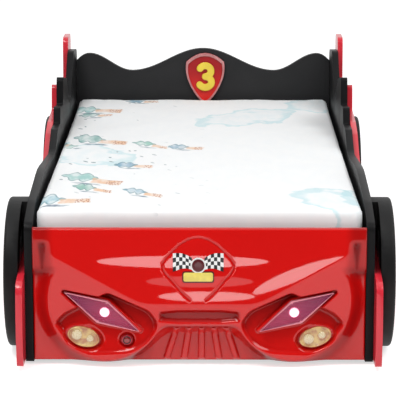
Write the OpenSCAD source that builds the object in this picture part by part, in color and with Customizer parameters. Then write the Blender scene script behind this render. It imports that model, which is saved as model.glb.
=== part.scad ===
// Child's single bed in the shape of a racing car, with a moulded front, boarded sides,
// printed mattress, wavy headboard and four solid wheels that do not turn.
// X is across the bed, Y runs from the moulded front (-) to the headboard (+), Z is up.
// The origin is on the floor under the middle of the bed.

/* [Mattress] */
// Mattress width
mattress_w = 900; // [800:10:1000]
// Mattress length
mattress_l = 1900; // [1800:10:2000]
// Mattress thickness
mattress_h = 120; // [100:5:150]
// Height of the slats' upper face, on which the mattress lies
slat_top = 310; // [300:5:330]
// Rise of the mattress top towards its middle
mattress_crown = 5; // [2:1:10]
// How far the sides draw in between the corners
mattress_draw = 4; // [2:1:8]
// Corner radius of the mattress seen from above
mattress_corner = 24; // [16:2:60]
// Edge radius of the mattress
mattress_edge = 15; // [12:1:30]
// Gap between mattress and side boards
side_gap = 5; // [3:1:12]
// Gap between mattress and foot panel
foot_gap = 3; // [2:1:10]
// Gap between mattress and headboard
head_gap = 18; // [16:1:30]

/* [Boards] */
// Thickness of the black side boards
side_t = 22; // [18:1:28]
// Thickness of the red body boards
red_t = 18; // [14:1:22]
// Thickness of the headboard
head_t = 22; // [16:1:28]
// Thickness of the inner foot panel
foot_t = 15; // [12:1:20]
// How far the red boards reach ahead of the moulded front
nose_l = 90; // [70:5:110]
// How far the side boards reach behind the headboard
tail_l = 4; // [2:1:20]
// Clearance of the side boards' lower edge above the floor
board_lift = 5; // [4:1:10]
// Clearance of the red boards' lower edge above the floor
red_lift = 14; // [6:1:20]
// Lower edge of the headboard
head_low = 60; // [40:5:120]
// Height of the headboard in its middle
head_peak = 610; // [580:2:640]
// Height of the headboard's two hollows
head_hollow = 530; // [510:1:550]
// Height of the headboard's two side crests
head_crest = 592; // [560:1:620]

/* [Moulded front] */
// Height of the moulding's upper edge
front_top = 384; // [370:2:390]
// Height of the moulding's lower edge
front_low = 12; // [8:1:20]
// Wall of the moulding
front_wall = 4; // [3:0.5:6]
// Radius of the rolled rim
front_roll = 6; // [4:1:8]
// How far the brow stands proud of the flat corners
crest_rise = 42; // [34:1:46]
// How far the hood's upper edge stands proud of the flat corners
top_rise = 6; // [4:1:10]
// Bend of the hood between brow and upper edge, where 1 is straight
hood_bend = 0.85; // [0.7:0.05:1.2]
// Depth of the lamp recesses at their upper ends
recess_deep = 30; // [20:1:32]
// Depth of the lamp recesses at their lower ends
recess_low = 6; // [3:1:10]
// Depth of the slot in the middle
slot_deep = 11; // [8:1:18]
// Depth of the two upright flutes beside the hood
flute_deep = 11; // [6:1:12]
// Number of raised beads in the lower grille
bead_count = 5; // [3:2:7]
// Distance between beads at their upper ends
bead_pitch = 33.5; // [30:0.5:42]
// Share by which the beads spread towards their lower ends
bead_spread = 0.42; // [0:0.02:0.5]
// Width of a bead
bead_w = 19; // [12:1:22]
// How far the beads stand to the right of the middle
bead_shift = 6; // [0:1:10]
// Rise of a bead
bead_rise = 10; // [5:1:12]

/* [Lamps] */
// Wall of the headlamp cover
lens_wall = 2; // [1.5:0.5:3]
// Height of the headlamp cover
lens_h = 10; // [8:1:14]
// Corner radius of the headlamp
lens_corner = 2; // [1:0.5:6]
// Thickness of the headlamp base
lamp_base_t = 3; // [2:0.5:4]
// Radius of the lit disc
led_r = 14; // [10:1:16]
// Height of the lit disc
led_h = 4; // [3:0.5:5]
// Half length of the fog lamp
fog_a = 45; // [38:1:50]
// Half height of the fog lamp
fog_b = 27; // [22:1:30]
// Thickness of the fog lamp body
fog_t = 8; // [6:1:12]
// Radius of the larger reflector
big_reflector_r = 14; // [10:1:16]
// Radius of the smaller reflector
small_reflector_r = 10; // [7:1:12]
// Radius of the lamp switch's collar
switch_r = 14; // [12:0.5:16]
// Radius of the push button
button_r = 8.5; // [7:0.5:10]
// Travel of the push button
button_travel = 2.5; // [1.5:0.5:3]

/* [Wheels] */
// Tyre radius
wheel_r = 210; // [190:2:215]
// Tyre width
wheel_w = 40; // [30:1:46]
// Shoulder radius of the tyre
shoulder_r = 9; // [6:1:14]
// Rim radius
rim_r = 142; // [120:2:150]
// Number of spokes
spoke_count = 5; // [5:1:8]
// Clearance of the tyres above the floor
wheel_lift = 6; // [2:1:8]
// Front wheel centre behind the moulded front
front_wheel_y = 197; // [180:1:240]
// Rear wheel centre ahead of the rear end
rear_wheel_y = 410; // [360:5:460]

/* [Base] */
// Slat width
slat_w = 70; // [50:5:90]
// Slat thickness
slat_t = 18; // [14:1:22]
// Width of the ledgers that carry the slats
ledger_w = 25; // [20:1:35]
// Height of the ledgers
ledger_h = 40; // [30:2:60]
// Width of the middle beam
beam_w = 40; // [30:2:60]
// Height of the middle beam
beam_h = 50; // [40:2:70]
// Diameter of the beam's legs
leg_d = 38; // [30:2:50]
// Thickness of the corner brackets
bracket_t = 3; // [2:0.5:5]
// Leg of the corner brackets
bracket_w = 42; // [36:2:50]
// Height of the corner brackets
bracket_h = 110; // [90:5:140]

/* [Fixings] */
// Bolt diameter at the wheels
wheel_bolt_d = 8; // [6:1:10]
// Bolt diameter at the brackets
bracket_bolt_d = 6; // [5:1:8]
// Screw diameter
screw_d = 4; // [3:0.5:5]
// Gap round a bolt or screw in its hole
hole_gap = 0.3; // [0.2:0.1:0.5]
// Gap between pieces that only touch
fit = 0.3; // [0.2:0.1:0.4]

/* [Shield] */
// Half width of the shield at its corners
shield_w = 68; // [60:1:74]
// Height of the shield's corners above the floor
shield_corner = 563; // [555:1:575]
// Rise of the shield's upper arc above its corners
shield_arc = 32; // [24:1:36]
// Height of the shield's tip above the floor
shield_tip = 408; // [400:2:440]
// Thickness of the shield
shield_t = 12; // [8:1:14]
// Width of the shield's raised rim
shield_rim = 8; // [5:1:12]
// How far the shield stands to the right of the middle
shield_x = 8; // [0:1:12]

/* [Hidden] */
$fn = 64;
// Number of slats, one node each
slat_count = 12;

// Lateral layers, from the middle outwards
side_x = mattress_w / 2 + side_gap;
red_x = side_x + side_t;
wheel_x = red_x + red_t;
// Stations along the bed
roll_back = front_wall + front_roll + fit;
bed_l = nose_l + roll_back + foot_t + foot_gap + mattress_l + head_gap + head_t + tail_l;
front_y = -bed_l / 2 + nose_l;
foot_y = front_y + roll_back;
mattress_y = foot_y + foot_t + foot_gap;
head_y = mattress_y + mattress_l + head_gap;
rear_y = head_y + head_t + tail_l;
// Levels
slat_low = slat_top - slat_t;
ledger_low = slat_low - ledger_h;
mattress_top = slat_top + mattress_h;
wheel_z = wheel_r + wheel_lift;
front_wheel = front_y + front_wheel_y;
rear_wheel = rear_y - rear_wheel_y;

// Helper functions for outlines
function unit(v) = v / norm(v);
function mix(a, b, t) = a * (1 - t) + b * t;
function clamp01(t) = max(0, min(1, t));
function smooth(a, b, t) = let (s = clamp01((t - a) / (b - a))) s * s * (3 - 2 * s);
// Corner b between a and c, rounded with radius r in steps of about 12 degrees
function corner(a, b, c, r) =
    let (u = unit(a - b), v = unit(c - b), half = acos(max(-1, min(1, u * v))) / 2)
    r <= 0 || half > 88 ? [b] :
    let (reach = min(norm(a - b), norm(c - b)) * 0.48,
         radius = min(r, reach * tan(half)),
         centre = b + unit(u + v) * radius / sin(half),
         p = b + u * radius / tan(half) - centre,
         q = b + v * radius / tan(half) - centre,
         start = atan2(p.y, p.x),
         turn = (atan2(q.y, q.x) - start + 540) % 360 - 180,
         steps = max(2, ceil(abs(turn) / 12)))
    [for (i = [0:steps]) centre + radius * [cos(start + turn * i / steps), sin(start + turn * i / steps)]];
// Closed outline from points [across, up, corner radius]
function outline(pts) = let (n = len(pts)) [for (i = [0:n - 1])
    let (a = pts[(i + n - 1) % n], b = pts[i], c = pts[(i + 1) % n])
    each corner([a[0], a[1]], [b[0], b[1]], [c[0], c[1]], b[2])];

// A board that stands in the YZ plane between x and x + t
module side_panel(pts, x, t) {
    translate([x, 0, 0]) rotate([90, 0, 90]) linear_extrude(t) polygon(outline(pts));
}
module on_side(side) {
    if (side < 0) mirror([1, 0, 0]) children(); else children();
}
// A drilled hole or a shank across the bed, from x0 to x1
module across(x0, x1, y, z, d) {
    translate([x0, y, z]) rotate([0, 90, 0]) cylinder(h = x1 - x0, d = d);
}
// A shank along the bed, from y0 to y1
module along(y0, y1, x, z, d) {
    translate([x, y0, z]) rotate([-90, 0, 0]) cylinder(h = y1 - y0, d = d);
}

// Outlines of the boards, in real heights, measured from the front plane and from the rear end
black_points = [
    [front_y, board_lift, 14], [front_y, 392, 30], [front_y + 145, 430, 200],
    [front_y + 457, 460, 700], [front_y + 878, 424, 110],
    [rear_y - 970, 481, 34], [rear_y - 866, 480, 8], [rear_y - 848, 531, 10],
    [rear_y - 725, 518, 8], [rear_y - 708, 608, 16], [rear_y - 525, 576, 110],
    [rear_y - 377, 470, 60], [rear_y - 175, 622, 46], [rear_y, 606, 40], [rear_y, board_lift, 14]];
red_points = [
    [front_y - nose_l + 14, red_lift, 12], [front_y - nose_l, 90, 200], [front_y - nose_l, 140, 200],
    [front_y - nose_l + 8, 246, 38],
    [front_y + 190, 284, 400], [front_y + 560, 330, 500], [front_y + 890, 402, 200],
    [rear_y - 965, 466, 60], [rear_y - 873, 488, 60], [rear_y - 700, 498, 10],
    [rear_y - 686, 582, 16], [rear_y - 520, 536, 140], [rear_y - 330, 440, 110],
    [rear_y - 158, 470, 50], [rear_y - 144, 664, 26], [rear_y, 664, 34], [rear_y, red_lift, 14]];

// Stations of the fixings
bracket_z = [head_low + 70, head_low + 70 + bracket_h - 40];
bracket_low = head_low + 50;
board_screw_y = [for (i = [0:4]) front_y + 420 + i * (rear_wheel - front_wheel - 420) / 4];
board_screw_z = ledger_low - 60;
glide_y = [front_y + 120, (front_y + rear_y) / 2, rear_y - 120];

module side_board(side) color("#1d1d20") on_side(side) difference() {
    side_panel(black_points, side_x, side_t);
    for (y = [front_wheel, rear_wheel])
        across(side_x - 1, red_x + 1, y, wheel_z, wheel_bolt_d + 2 * hole_gap);
    for (y = board_screw_y) across(side_x - 1, red_x + 1, y, board_screw_z, screw_d + 2 * hole_gap);
    for (z = bracket_z, y = [foot_y + foot_t + bracket_w / 2, head_y - bracket_w / 2])
        across(side_x - 1, side_x + side_t * 0.75, y, z, bracket_bolt_d + 2 * hole_gap);
}
module red_board(side) color("#d8303f") on_side(side) difference() {
    side_panel(red_points, red_x, red_t);
    for (y = [front_wheel, rear_wheel])
        across(red_x - 1, wheel_x + 1, y, wheel_z, wheel_bolt_d + 2 * hole_gap);
    for (y = board_screw_y)
        across(red_x - 1, red_x + red_t * 0.7, y, board_screw_z, screw_d + 2 * hole_gap);
}

// Headboard with a wavy upper edge
head_crest_x = side_x * 0.9;
head_hollow_x = side_x * 0.56;
function head_wave(x) = let (a = abs(x), t = (a - head_hollow_x) / (head_crest_x - head_hollow_x))
    a < head_hollow_x ? mix(head_hollow, head_peak, (1 + cos(180 * a / head_hollow_x)) / 2) :
    a < head_crest_x ? mix(head_hollow, head_crest, (1 - cos(180 * t)) / 2) :
    head_crest - 26 * pow((a - head_crest_x) / (side_x - head_crest_x), 2);
module headboard() color("#1b1b1d") difference() {
    half = side_x - fit;
    translate([0, head_y + head_t, 0]) rotate([90, 0, 0]) linear_extrude(head_t)
        polygon(concat([[half, head_low], [-half, head_low]],
            [for (i = [0:72]) let (x = -half + i * half / 36) [x, head_wave(x)]]));
    for (z = bracket_z, s = [-1, 1])
        along(head_y - 1, head_y + head_t * 0.75, s * (side_x - bracket_w / 2), z,
            bracket_bolt_d + 2 * hole_gap);
}
foot_top = front_top - front_roll - 16;
module foot_panel() color("#2a2a2c") difference() {
    translate([-side_x + fit, foot_y, 30]) cube([2 * (side_x - fit), foot_t, foot_top - 30]);
    for (z = bracket_z, s = [-1, 1])
        along(foot_y + foot_t * 0.25, foot_y + foot_t + 1, s * (side_x - bracket_w / 2), z,
            bracket_bolt_d + 2 * hole_gap);
}

// The moulded front is a height field: rise(x, z) is how far a point stands ahead of the flat
// corners. Places are measured from the moulding's own edges.
front_half = side_x - fit;
eye = [front_half - 190, front_low + 172];
eye_height = 172;
eye_inner = 178;
eye_outer = 163;
upper_z = front_top - 118;
slot_z = front_low + 135;
slot_end = 107;
arch_z = front_low + 99;
arch_draft = 0.67;
corner_z = front_top - 116;
corner_level = 13;
flute_x = front_half - 27;
flute_top = front_top - 40;
flute_low = front_top - 120;
lens_points = [[-368, 210], [-249, 188], [-162, 105], [-278.5, 126.5]];
lens_shift = [455 - front_half, front_low - 12];
// The headlamps sweep back with the face: lens_level is met lens_middle away from the middle
lens_level = crest_rise / 2;
lens_middle = 264;
lens_sweep = 0.095;
led_at = [-(front_half - 197), front_low + 143];
fog_at = [-(front_half - 138), front_low + 71.6];
fog_tilt = -17;
fog_level = 12;
switch_at = [-(front_half - 257), front_low + 65];
switch_level = 19;
// Recess of one side over distance from the middle and height
recess_points = [for (p = [[250, 208], [372, 147], [391, 122], [350, 64], [304, 40], [255, 40], [188, 48],
    [146, 68], [122, 98], [116, 130], [138, 160]]) [p.x - lens_shift.x, p.y + lens_shift.y]];
recess_foot = front_low + 32;
recess_reach = 150;
// Height of the brow line over the distance from the middle
brow_knee = 158;
brow_soft = 12;
brow_slope = 0.55;
function brow(a) = front_low + 163 + brow_slope * brow_soft * ln(1 + exp((a - brow_knee) / brow_soft));
function smax(a, b, k) = let (h = clamp01(0.5 + 0.5 * (a - b) / k)) mix(b, a, h) + k * h * (1 - h);
function edge_gap(p, a, b) = let (d = unit(b - a)) (p - a) * [d.y, -d.x];
// Distance inside a convex outline whose points run clockwise
function inside(p, pts) = min([for (i = [0:len(pts) - 1]) edge_gap(p, pts[i], pts[(i + 1) % len(pts)])]);
function oval(p, c, s) = (1 - norm([(p.x - c.x) / s.x, (p.y - c.y) / s.y])) * min(s.x, s.y);
function turned(p, c, t) = let (d = p - c) [d.x * cos(t) + d.y * sin(t), -d.x * sin(t) + d.y * cos(t)];
// The hood leans back from the brow to the moulding's upper edge
function hood(z) = let (t = max(0, (front_top - z) / (front_top - brow(0))))
    mix(top_rise, crest_rise, pow(t, hood_bend));
// Share of the raised face: 1 on the eyes, the hood and the middle, 0 on the corners and the grille
function face_mask(a, z) = let (
    e = oval([a, z], eye, [a > eye.x ? eye_outer : eye_inner, eye_height]),
    soft = 14 + 8 * smooth(eye.x, eye.x + 80, a),
    middle = min((z - arch_z) * arch_draft, front_half - 155 - a))
    smooth(-soft - 2, soft - 2, smax(smax(e, z - upper_z, 20), middle, 24));
function recess(a, z) = smooth(-6, 8, inside([a, z], recess_points));
function recess_depth(z) = mix(recess_low, recess_deep, clamp01((z - recess_foot) / recess_reach));
function slot(a, z) = let (taper = 15 - 5 * clamp01((a - 60) / 50))
    smooth(-7, 8, min(taper - abs(z - slot_z), slot_end - a));
function flute(a, z) = let (
    w = 5 + 11 * clamp01((z - flute_low) / (flute_top - flute_low)),
    cap = smooth(0, 1, (flute_top + 8 - z) / 22) * smooth(0, 1, (z - flute_low + 8) / 20))
    cap * smooth(0, 1, 1 - abs(a - flute_x) / w);
function bead(x, z) = let (
    spread = bead_pitch * (1 + bead_spread * clamp01((arch_z - z) / 90)),
    b = x - bead_shift, k = round(b / spread), d = abs(b - k * spread) / (bead_w / 2),
    ends = clamp01((z - front_low - 4) / 6) * clamp01((arch_z + 3 - z) / 9))
    abs(k) > (bead_count - 1) / 2 || d > 1 ? 0 : sqrt(1 - d * d) * sqrt(ends);
function face(x, z) = let (
    a = abs(x), mask = face_mask(a, z),
    raised = min(hood(z), hood(brow(a))) * mask,
    corner = smooth(front_half - 62, front_half - 30, a) * smooth(-15, 10, z - corner_z),
    body = mix(raised, min(hood(z), corner_level), corner),
    sunk = body - recess_depth(z) * recess(a, z) * mask - slot_deep * slot(a, z) - flute_deep * flute(a, z))
    sunk + bead_rise * bead(x, z);
function rolled(d) = let (e = max(0, front_roll - d)) front_roll - sqrt(front_roll * front_roll - e * e);
// Distance inside a headlamp's outline, with blunt ends beyond its two tips
function lens_near(p) = let (
    a = lens_points[0], b = lens_points[2], reach = norm(b - a) / 2)
    min(inside(p, lens_points), reach - abs((p - (a + b) / 2) * unit(b - a)));
function rise(x, z, margin) = let (
    p = [x, z], q = [-abs(x), z],
    base = face(x, z),
    seat = lens_level - lens_sweep * (abs(x) - lens_middle),
    with_lens = mix(base, seat, smooth(-6, 0, lens_near(q - lens_shift) + margin)),
    f = turned(q, fog_at, fog_tilt),
    with_fog = mix(with_lens, fog_level, smooth(-4, 0, oval(f, [0, 0], [fog_a + margin, fog_b + margin]))),
    with_switch = mix(with_fog, switch_level, smooth(-4, 0, switch_r + margin - norm(p - switch_at))),
    rim = min(front_half - abs(x), front_top - z, z - front_low))
    with_switch - rolled(max(0, rim));

// Grid of the moulding: the columns follow the beads in the middle and even out to the sides,
// the rows follow the brow
bead_cells = [-0.5, -0.28, 0, 0.28, 0.5];
middle_columns = [for (k = [-(bead_count - 1) / 2:(bead_count - 1) / 2], c = bead_cells)
    bead_shift + k * bead_pitch + c * bead_w];
side_cells = 29;
middle_edge = (bead_count - 1) / 2 * bead_pitch + bead_w / 2;
side_columns = [for (i = [1:side_cells]) let (t = i / side_cells)
    i == side_cells ? front_half : i == side_cells - 1 ? front_half - front_roll / 2 :
    mix(middle_edge, front_half - front_roll / 2, i / (side_cells - 1))];
columns = concat([for (i = [side_cells - 1:-1:0]) -side_columns[i]], middle_columns, side_columns);
low_cells = 22;
band_cells = 3;
top_cells = 15;
row_cells = low_cells + band_cells + top_cells + 2;
brow_band = 22;
function row_z(j, a) = let (b = brow(a), k = j - 1 - low_cells)
    j == 0 ? front_low : j == row_cells ? front_top :
    k <= 0 ? mix(front_low + front_roll / 2, b - brow_band, (j - 1) / low_cells) :
    k <= band_cells ? b - brow_band * (1 - k / band_cells) :
    mix(b, front_top - front_roll / 2, (k - band_cells) / top_cells);
function on_beads(x) = abs(x - bead_shift) < middle_edge + 1;
fan = [for (x = columns)
    on_beads(x) ? 1 : clamp01((front_half - abs(x)) / (front_half - middle_edge))];
function column_x(i, z) = let (
    x = columns[i], c = on_beads(x) ? bead_shift : 0,
    grow = bead_spread * clamp01((arch_z - z) / 90))
    c + (x - c) * (1 + grow * fan[i] * clamp01(1.4 - abs(x) / front_half));
// How far the seats of the lamps reach beyond the lamps' own outlines
seat_margin = 13;
nc = len(columns);
nr = row_cells + 1;
front_skin = [for (j = [0:nr - 1], i = [0:nc - 1]) let (z = row_z(j, abs(columns[i])), x = column_x(i, z))
    [x, front_y - rise(x, z, seat_margin), z]];
// The inner skin follows every second line of the outer one, one wall behind its deepest neighbour
inner_i = [for (i = [0:2:nc - 1]) i];
inner_j = [for (j = [0:2:nr - 1]) j];
function deepest(i, j) = max([
    for (u = [max(0, i - 2):min(nc - 1, i + 2)], v = [max(0, j - 2):min(nr - 1, j + 2)])
        front_skin[v * nc + u].y]);
inner_skin = [for (j = inner_j, i = inner_i) let (p = front_skin[j * nc + i],
    edge = i == 0 || i == nc - 1 || j == 0 || j == nr - 1)
    [p.x, edge ? front_y + roll_back - fit : min(front_y + front_roll, deepest(i, j)) + front_wall, p.z]];
module front_moulding() color("#cf1410") {
    mc = len(inner_i);
    mr = len(inner_j);
    o = len(front_skin);
    faces = concat(
        [for (j = [0:nr - 2], i = [0:nc - 2]) let (a = j * nc + i) each
            [[a, a + nc, a + 1], [a + 1, a + nc, a + nc + 1]]],
        [for (j = [0:mr - 2], i = [0:mc - 2]) let (a = o + j * mc + i) each
            [[a, a + 1, a + mc], [a + 1, a + mc + 1, a + mc]]],
        [for (i = [0:mc - 2])
            let (a = 2 * i, b = o + i, c = (nr - 1) * nc + 2 * i, d = o + (mr - 1) * mc + i) each
            [[a, a + 1, b], [a + 1, b + 1, b], [a + 1, a + 2, b + 1],
             [c, d, c + 1], [c + 1, d, d + 1], [c + 1, d + 1, c + 2]]],
        [for (j = [0:mr - 2]) let (a = 2 * j * nc, b = o + j * mc, c = a + nc - 1, d = b + mc - 1) each
            [[a, b, a + nc], [a + nc, b, b + mc], [a + nc, b + mc, a + 2 * nc],
             [c, c + nc, d], [c + nc, d + mc, d], [c + nc, c + 2 * nc, d + mc]]]);
    polyhedron(concat(front_skin, inner_skin), faces = faces, convexity = 6);
}

// Headlamps: base plate, lit disc and clear cover, all of the same slanted lozenge
module lozenge(grow) {
    offset_points = [for (p = lens_points) p + lens_shift];
    centre = (offset_points[0] + offset_points[2]) / 2;
    polygon(outline([for (p = offset_points) let (v = p - centre)
        concat(p + unit(v) * grow, [lens_corner])]));
}
module lamp_frame(side, lift) {
    on_side(-side) translate([-lens_middle, front_y - lens_level, 0]) rotate([0, 0, -atan(lens_sweep)])
        translate([lens_middle, -fit - lift, 0]) children();
}
module lamp_layer(side, lift, t) {
    lamp_frame(side, lift) rotate([90, 0, 0]) linear_extrude(t) children();
}
module headlamp_base(side) color("#6b3a63") lamp_layer(side, 0, lamp_base_t) lozenge(0);
module headlamp_cover(side) color("#c98aa4") difference() {
    lamp_layer(side, lamp_base_t, lens_h) lozenge(0);
    lamp_layer(side, lamp_base_t - 1, lens_h - lens_wall + 1) lozenge(-lens_wall * 2.2);
}
module headlamp_led(side) color("white") lamp_frame(side, lamp_base_t) translate([led_at.x, 0, led_at.y])
    rotate([90, 0, 0]) rotate_extrude() polygon([[0, 0], [led_r, 0], [led_r, led_h * 0.4],
        for (a = [0:15:90]) [led_r * cos(a), led_h * (0.4 + 0.6 * sin(a))]]);

// Fog lamps: oval body with two round reflectors
module fog_frame(side, level) {
    on_side(-side) translate([fog_at.x, front_y - level, fog_at.y])
        rotate([90, 0, 0]) rotate(fog_tilt) children();
}
// Places of the two reflectors from the outer end inwards; the larger one is on the viewer's left in both
reflector_x = [-fog_a * 0.42, fog_a * 0.42];
function reflector_r(side, k) = (side < 0) == (k == 0) ? big_reflector_r : small_reflector_r;
module fog_lamp(side) color("#c9a05a") difference() {
    fog_frame(side, fog_level + fit) linear_extrude(fog_t)
        polygon([for (t = [0:9:351]) [fog_a * cos(t), fog_b * sin(t)]]);
    fog_frame(side, fog_level + fit + fog_t * 0.4) for (k = [0, 1])
        translate([reflector_x[k], 0, 0]) cylinder(h = fog_t, r = reflector_r(side, k) + fit);
}
module reflector(r) {
    rotate_extrude() polygon([[0, 0], [r, 0], [r, fog_t * 0.5],
        for (t = [0:15:90]) [r * cos(t), fog_t * (0.5 + 0.4 * sin(t))]]);
}
module fog_reflectors(side) color("#efe3b0") fog_frame(side, fog_level + fit + fog_t * 0.4)
    for (k = [0, 1]) translate([reflector_x[k], 0, 0]) reflector(reflector_r(side, k));

// Lamp switch: a collar that guides a sprung push button
collar_h = 9;
collar_floor = 3;
module switch_frame(level) {
    translate([switch_at.x, front_y - level, switch_at.y]) rotate([90, 0, 0]) children();
}
module switch_collar() color("#c2263a") switch_frame(switch_level + fit) rotate_extrude()
    polygon([[0, 0], [switch_r, 0], [switch_r, collar_h - 2], [switch_r - 2, collar_h],
        [button_r + fit, collar_h], [button_r + fit, collar_floor], [0, collar_floor]]);
module lamp_button() color("#a00c14")
    switch_frame(switch_level + fit + collar_floor + button_travel + fit) rotate_extrude()
        polygon([[0, 0], [button_r, 0], [button_r, 4],
            for (t = [0:18:90]) [button_r * cos(t), 4 + 2 * sin(t)]]);

// Shield on the headboard: raised rim round a sunk field
function shield_side(t) = let (z = mix(shield_tip, shield_corner, t))
    [shield_w * (1.08 * sin(90 * pow(t, 0.8)) - 0.08 * pow(t, 6)), z];
function shield_outline() = concat(
    [for (i = [0:12]) shield_side(i / 12)],
    [for (i = [1:7]) let (t = 1 - i / 4) [shield_w * t, shield_corner + shield_arc * (1 - t * t)]],
    [for (i = [12:-1:1]) let (p = shield_side(i / 12)) [-p.x, p.y]]);
shield_centre = [0, (shield_tip + shield_corner) / 2 + 12];
function shrink(p, c, k) = c + (p - c) * k;
shield_sunk = 4;
module shield_plaque() color("#c81c22")
    translate([shield_x, head_y - fit, 0]) rotate([90, 0, 0]) difference() {
        linear_extrude(shield_t) polygon(shield_outline());
        translate([0, 0, shield_t - shield_sunk]) linear_extrude(shield_sunk + 1)
            polygon([for (p = shield_outline()) shrink(p, shield_centre, 1 - shield_rim / shield_w)]);
    }

// Wheels: hollow-backed tyre, spoked rim and hub cap, held by one bolt through both boards
module wheel_frame(side, y) {
    on_side(side) translate([wheel_x + fit, y, wheel_z]) rotate([0, 90, 0]) children();
}
rim_seat = rim_r + 1;
module tyre(side, y) color("#202022") {
    wheel_frame(side, y) rotate_extrude($fn = 96) polygon(outline([
        [rim_seat, 0, 0], [wheel_r, 0, 4], [wheel_r, wheel_w, shoulder_r], [rim_seat + 14, wheel_w, 10],
        [rim_seat, wheel_w - 8, 2]]));
    if (y < 0) tyre_flank(side, y);
}
// Part of a front tyre that lies on the black board, between the red board's upper edge and the tread,
// from flank_reach ahead of the wheel's middle backwards
flank_grip = 6;
flank_reach = 35;
module tyre_flank(side, y) on_side(side) difference() {
    translate([red_x + fit, y, wheel_z]) rotate([0, 90, 0]) difference() {
        cylinder(h = red_t + flank_grip, r = wheel_r, $fn = 96);
        translate([0, 0, -1]) cylinder(h = red_t + flank_grip + 2, r = rim_seat, $fn = 96);
    }
    translate([0, 0, fit]) side_panel(red_points, red_x - 1, red_t + 1 + fit);
    translate([red_x - 1, y - wheel_r - 1, 0]) cube([red_t + 1 + fit, 2 * wheel_r + 2, wheel_z]);
    translate([red_x - 1, y - wheel_r - 1, 0])
        cube([red_t + 1 + fit, wheel_r + 1 - flank_reach, wheel_z + wheel_r + 1]);
}
hub_r = 34;
rim_d = wheel_w - 12;
module rim(side, y) color("#9a9da2") wheel_frame(side, y) difference() {
    union() {
        rotate_extrude($fn = 96) polygon([[rim_r - 12, 0], [rim_r, 0], [rim_r, rim_d],
            [rim_r - 7, rim_d + 2], [rim_r - 12, rim_d - 2]]);
        cylinder(h = 5, r = rim_r - 6);
        cylinder(h = rim_d - 2, r1 = hub_r + 8, r2 = hub_r);
        for (k = [0:spoke_count - 1]) rotate(90 + k * 360 / spoke_count) linear_extrude(rim_d - 5)
            polygon([[hub_r - 6, -15], [rim_r - 8, -24], [rim_r - 8, -9], [hub_r + 18, -3],
                [hub_r + 18, 3], [rim_r - 8, 9], [rim_r - 8, 24], [hub_r - 6, 15]]);
    }
    translate([0, 0, -1]) cylinder(h = rim_d + 4, d = wheel_bolt_d + 2 * hole_gap);
    translate([0, 0, rim_d - 10]) cylinder(h = 20, r = bolt_head_r + 2);
}
bolt_head_r = wheel_bolt_d;
module hub_cap(side, y) color("#c8cacd") wheel_frame(side, y) translate([0, 0, rim_d - 2 + fit])
    difference() {
        rotate_extrude($fn = 64) polygon([[0, 0], [hub_r - 4, 0], [hub_r - 4, 3], for (t = [0:15:90])
            [(hub_r - 4) * cos(t), 3 + 5 * sin(t)]]);
        translate([0, 0, -1]) cylinder(h = 3, r = bolt_head_r + 3);
    }
module wheel_bolts() color("#8d9094") for (s = [-1, 1], y = [front_wheel, rear_wheel]) on_side(s) {
    across(side_x - 14, wheel_x + fit + rim_d - 10 + fit, y, wheel_z, wheel_bolt_d);
    across(wheel_x + fit + rim_d - 10 + fit, wheel_x + fit + rim_d - 4, y, wheel_z, 2 * bolt_head_r);
}
module wheel_nuts() color("#8d9094") for (s = [-1, 1], y = [front_wheel, rear_wheel]) on_side(s)
    difference() {
        union() {
            across(side_x - 3, side_x, y, wheel_z, 30);
            across(side_x - 10, side_x - 3, y, wheel_z, 2 * wheel_bolt_d);
        }
        across(side_x - 11, side_x + 1, y, wheel_z, wheel_bolt_d + 2 * hole_gap);
    }

// Slatted base
base_y0 = foot_y + foot_t + fit;
base_y1 = head_y - fit;
beam_top = slat_low;
beam_low = beam_top - beam_h;
// Way from the end of the base to the first slat, and from a slat's end to the side board
first_slat = 60;
slat_end = 3;
slat_pitch = (base_y1 - base_y0 - 2 * first_slat - slat_w) / (slat_count - 1);
module ledger(side) color("#d9b98a") on_side(side)
    translate([side_x - ledger_w, base_y0, ledger_low]) cube([ledger_w, base_y1 - base_y0, ledger_h]);
module slat(k) color("#e2c79b")
    translate([-side_x + slat_end, base_y0 + first_slat + (k - 1) * slat_pitch, slat_low])
        cube([2 * (side_x - slat_end), slat_w, slat_t]);
leg_y = [mattress_y + mattress_l / 3, mattress_y + 2 * mattress_l / 3];
hanger_t = 3;
module middle_beam() color("#d4b283") translate([-beam_w / 2, base_y0 + hanger_t + fit, beam_low])
    cube([beam_w, base_y1 - base_y0 - 2 * (hanger_t + fit), beam_h]);
module beam_leg(y) color("#3a3a3d") translate([0, y, 0]) {
    cylinder(h = 12, d = leg_d + 12);
    translate([0, 0, 12]) cylinder(h = beam_low - 12 - 5, d = leg_d);
    translate([0, 0, beam_low - 5]) cylinder(h = 5, d = leg_d + 2);
}
module hanger() {
    inner = beam_w + 2 * fit;
    translate([-inner / 2 - hanger_t, 0, beam_low - fit - hanger_t])
        cube([inner + 2 * hanger_t, hanger_t, beam_h + hanger_t]);
    for (s = [-1, 1]) translate([s * (inner + hanger_t) / 2 - hanger_t / 2, 0, beam_low - fit - hanger_t])
        cube([hanger_t, 45, beam_h + hanger_t]);
    translate([-inner / 2 - hanger_t, 0, beam_low - fit - hanger_t])
        cube([inner + 2 * hanger_t, 45, hanger_t]);
}
module beam_hangers() color("#a8abb0") {
    translate([0, base_y0, 0]) hanger();
    translate([0, base_y1, 0]) mirror([0, 1, 0]) hanger();
}

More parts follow.
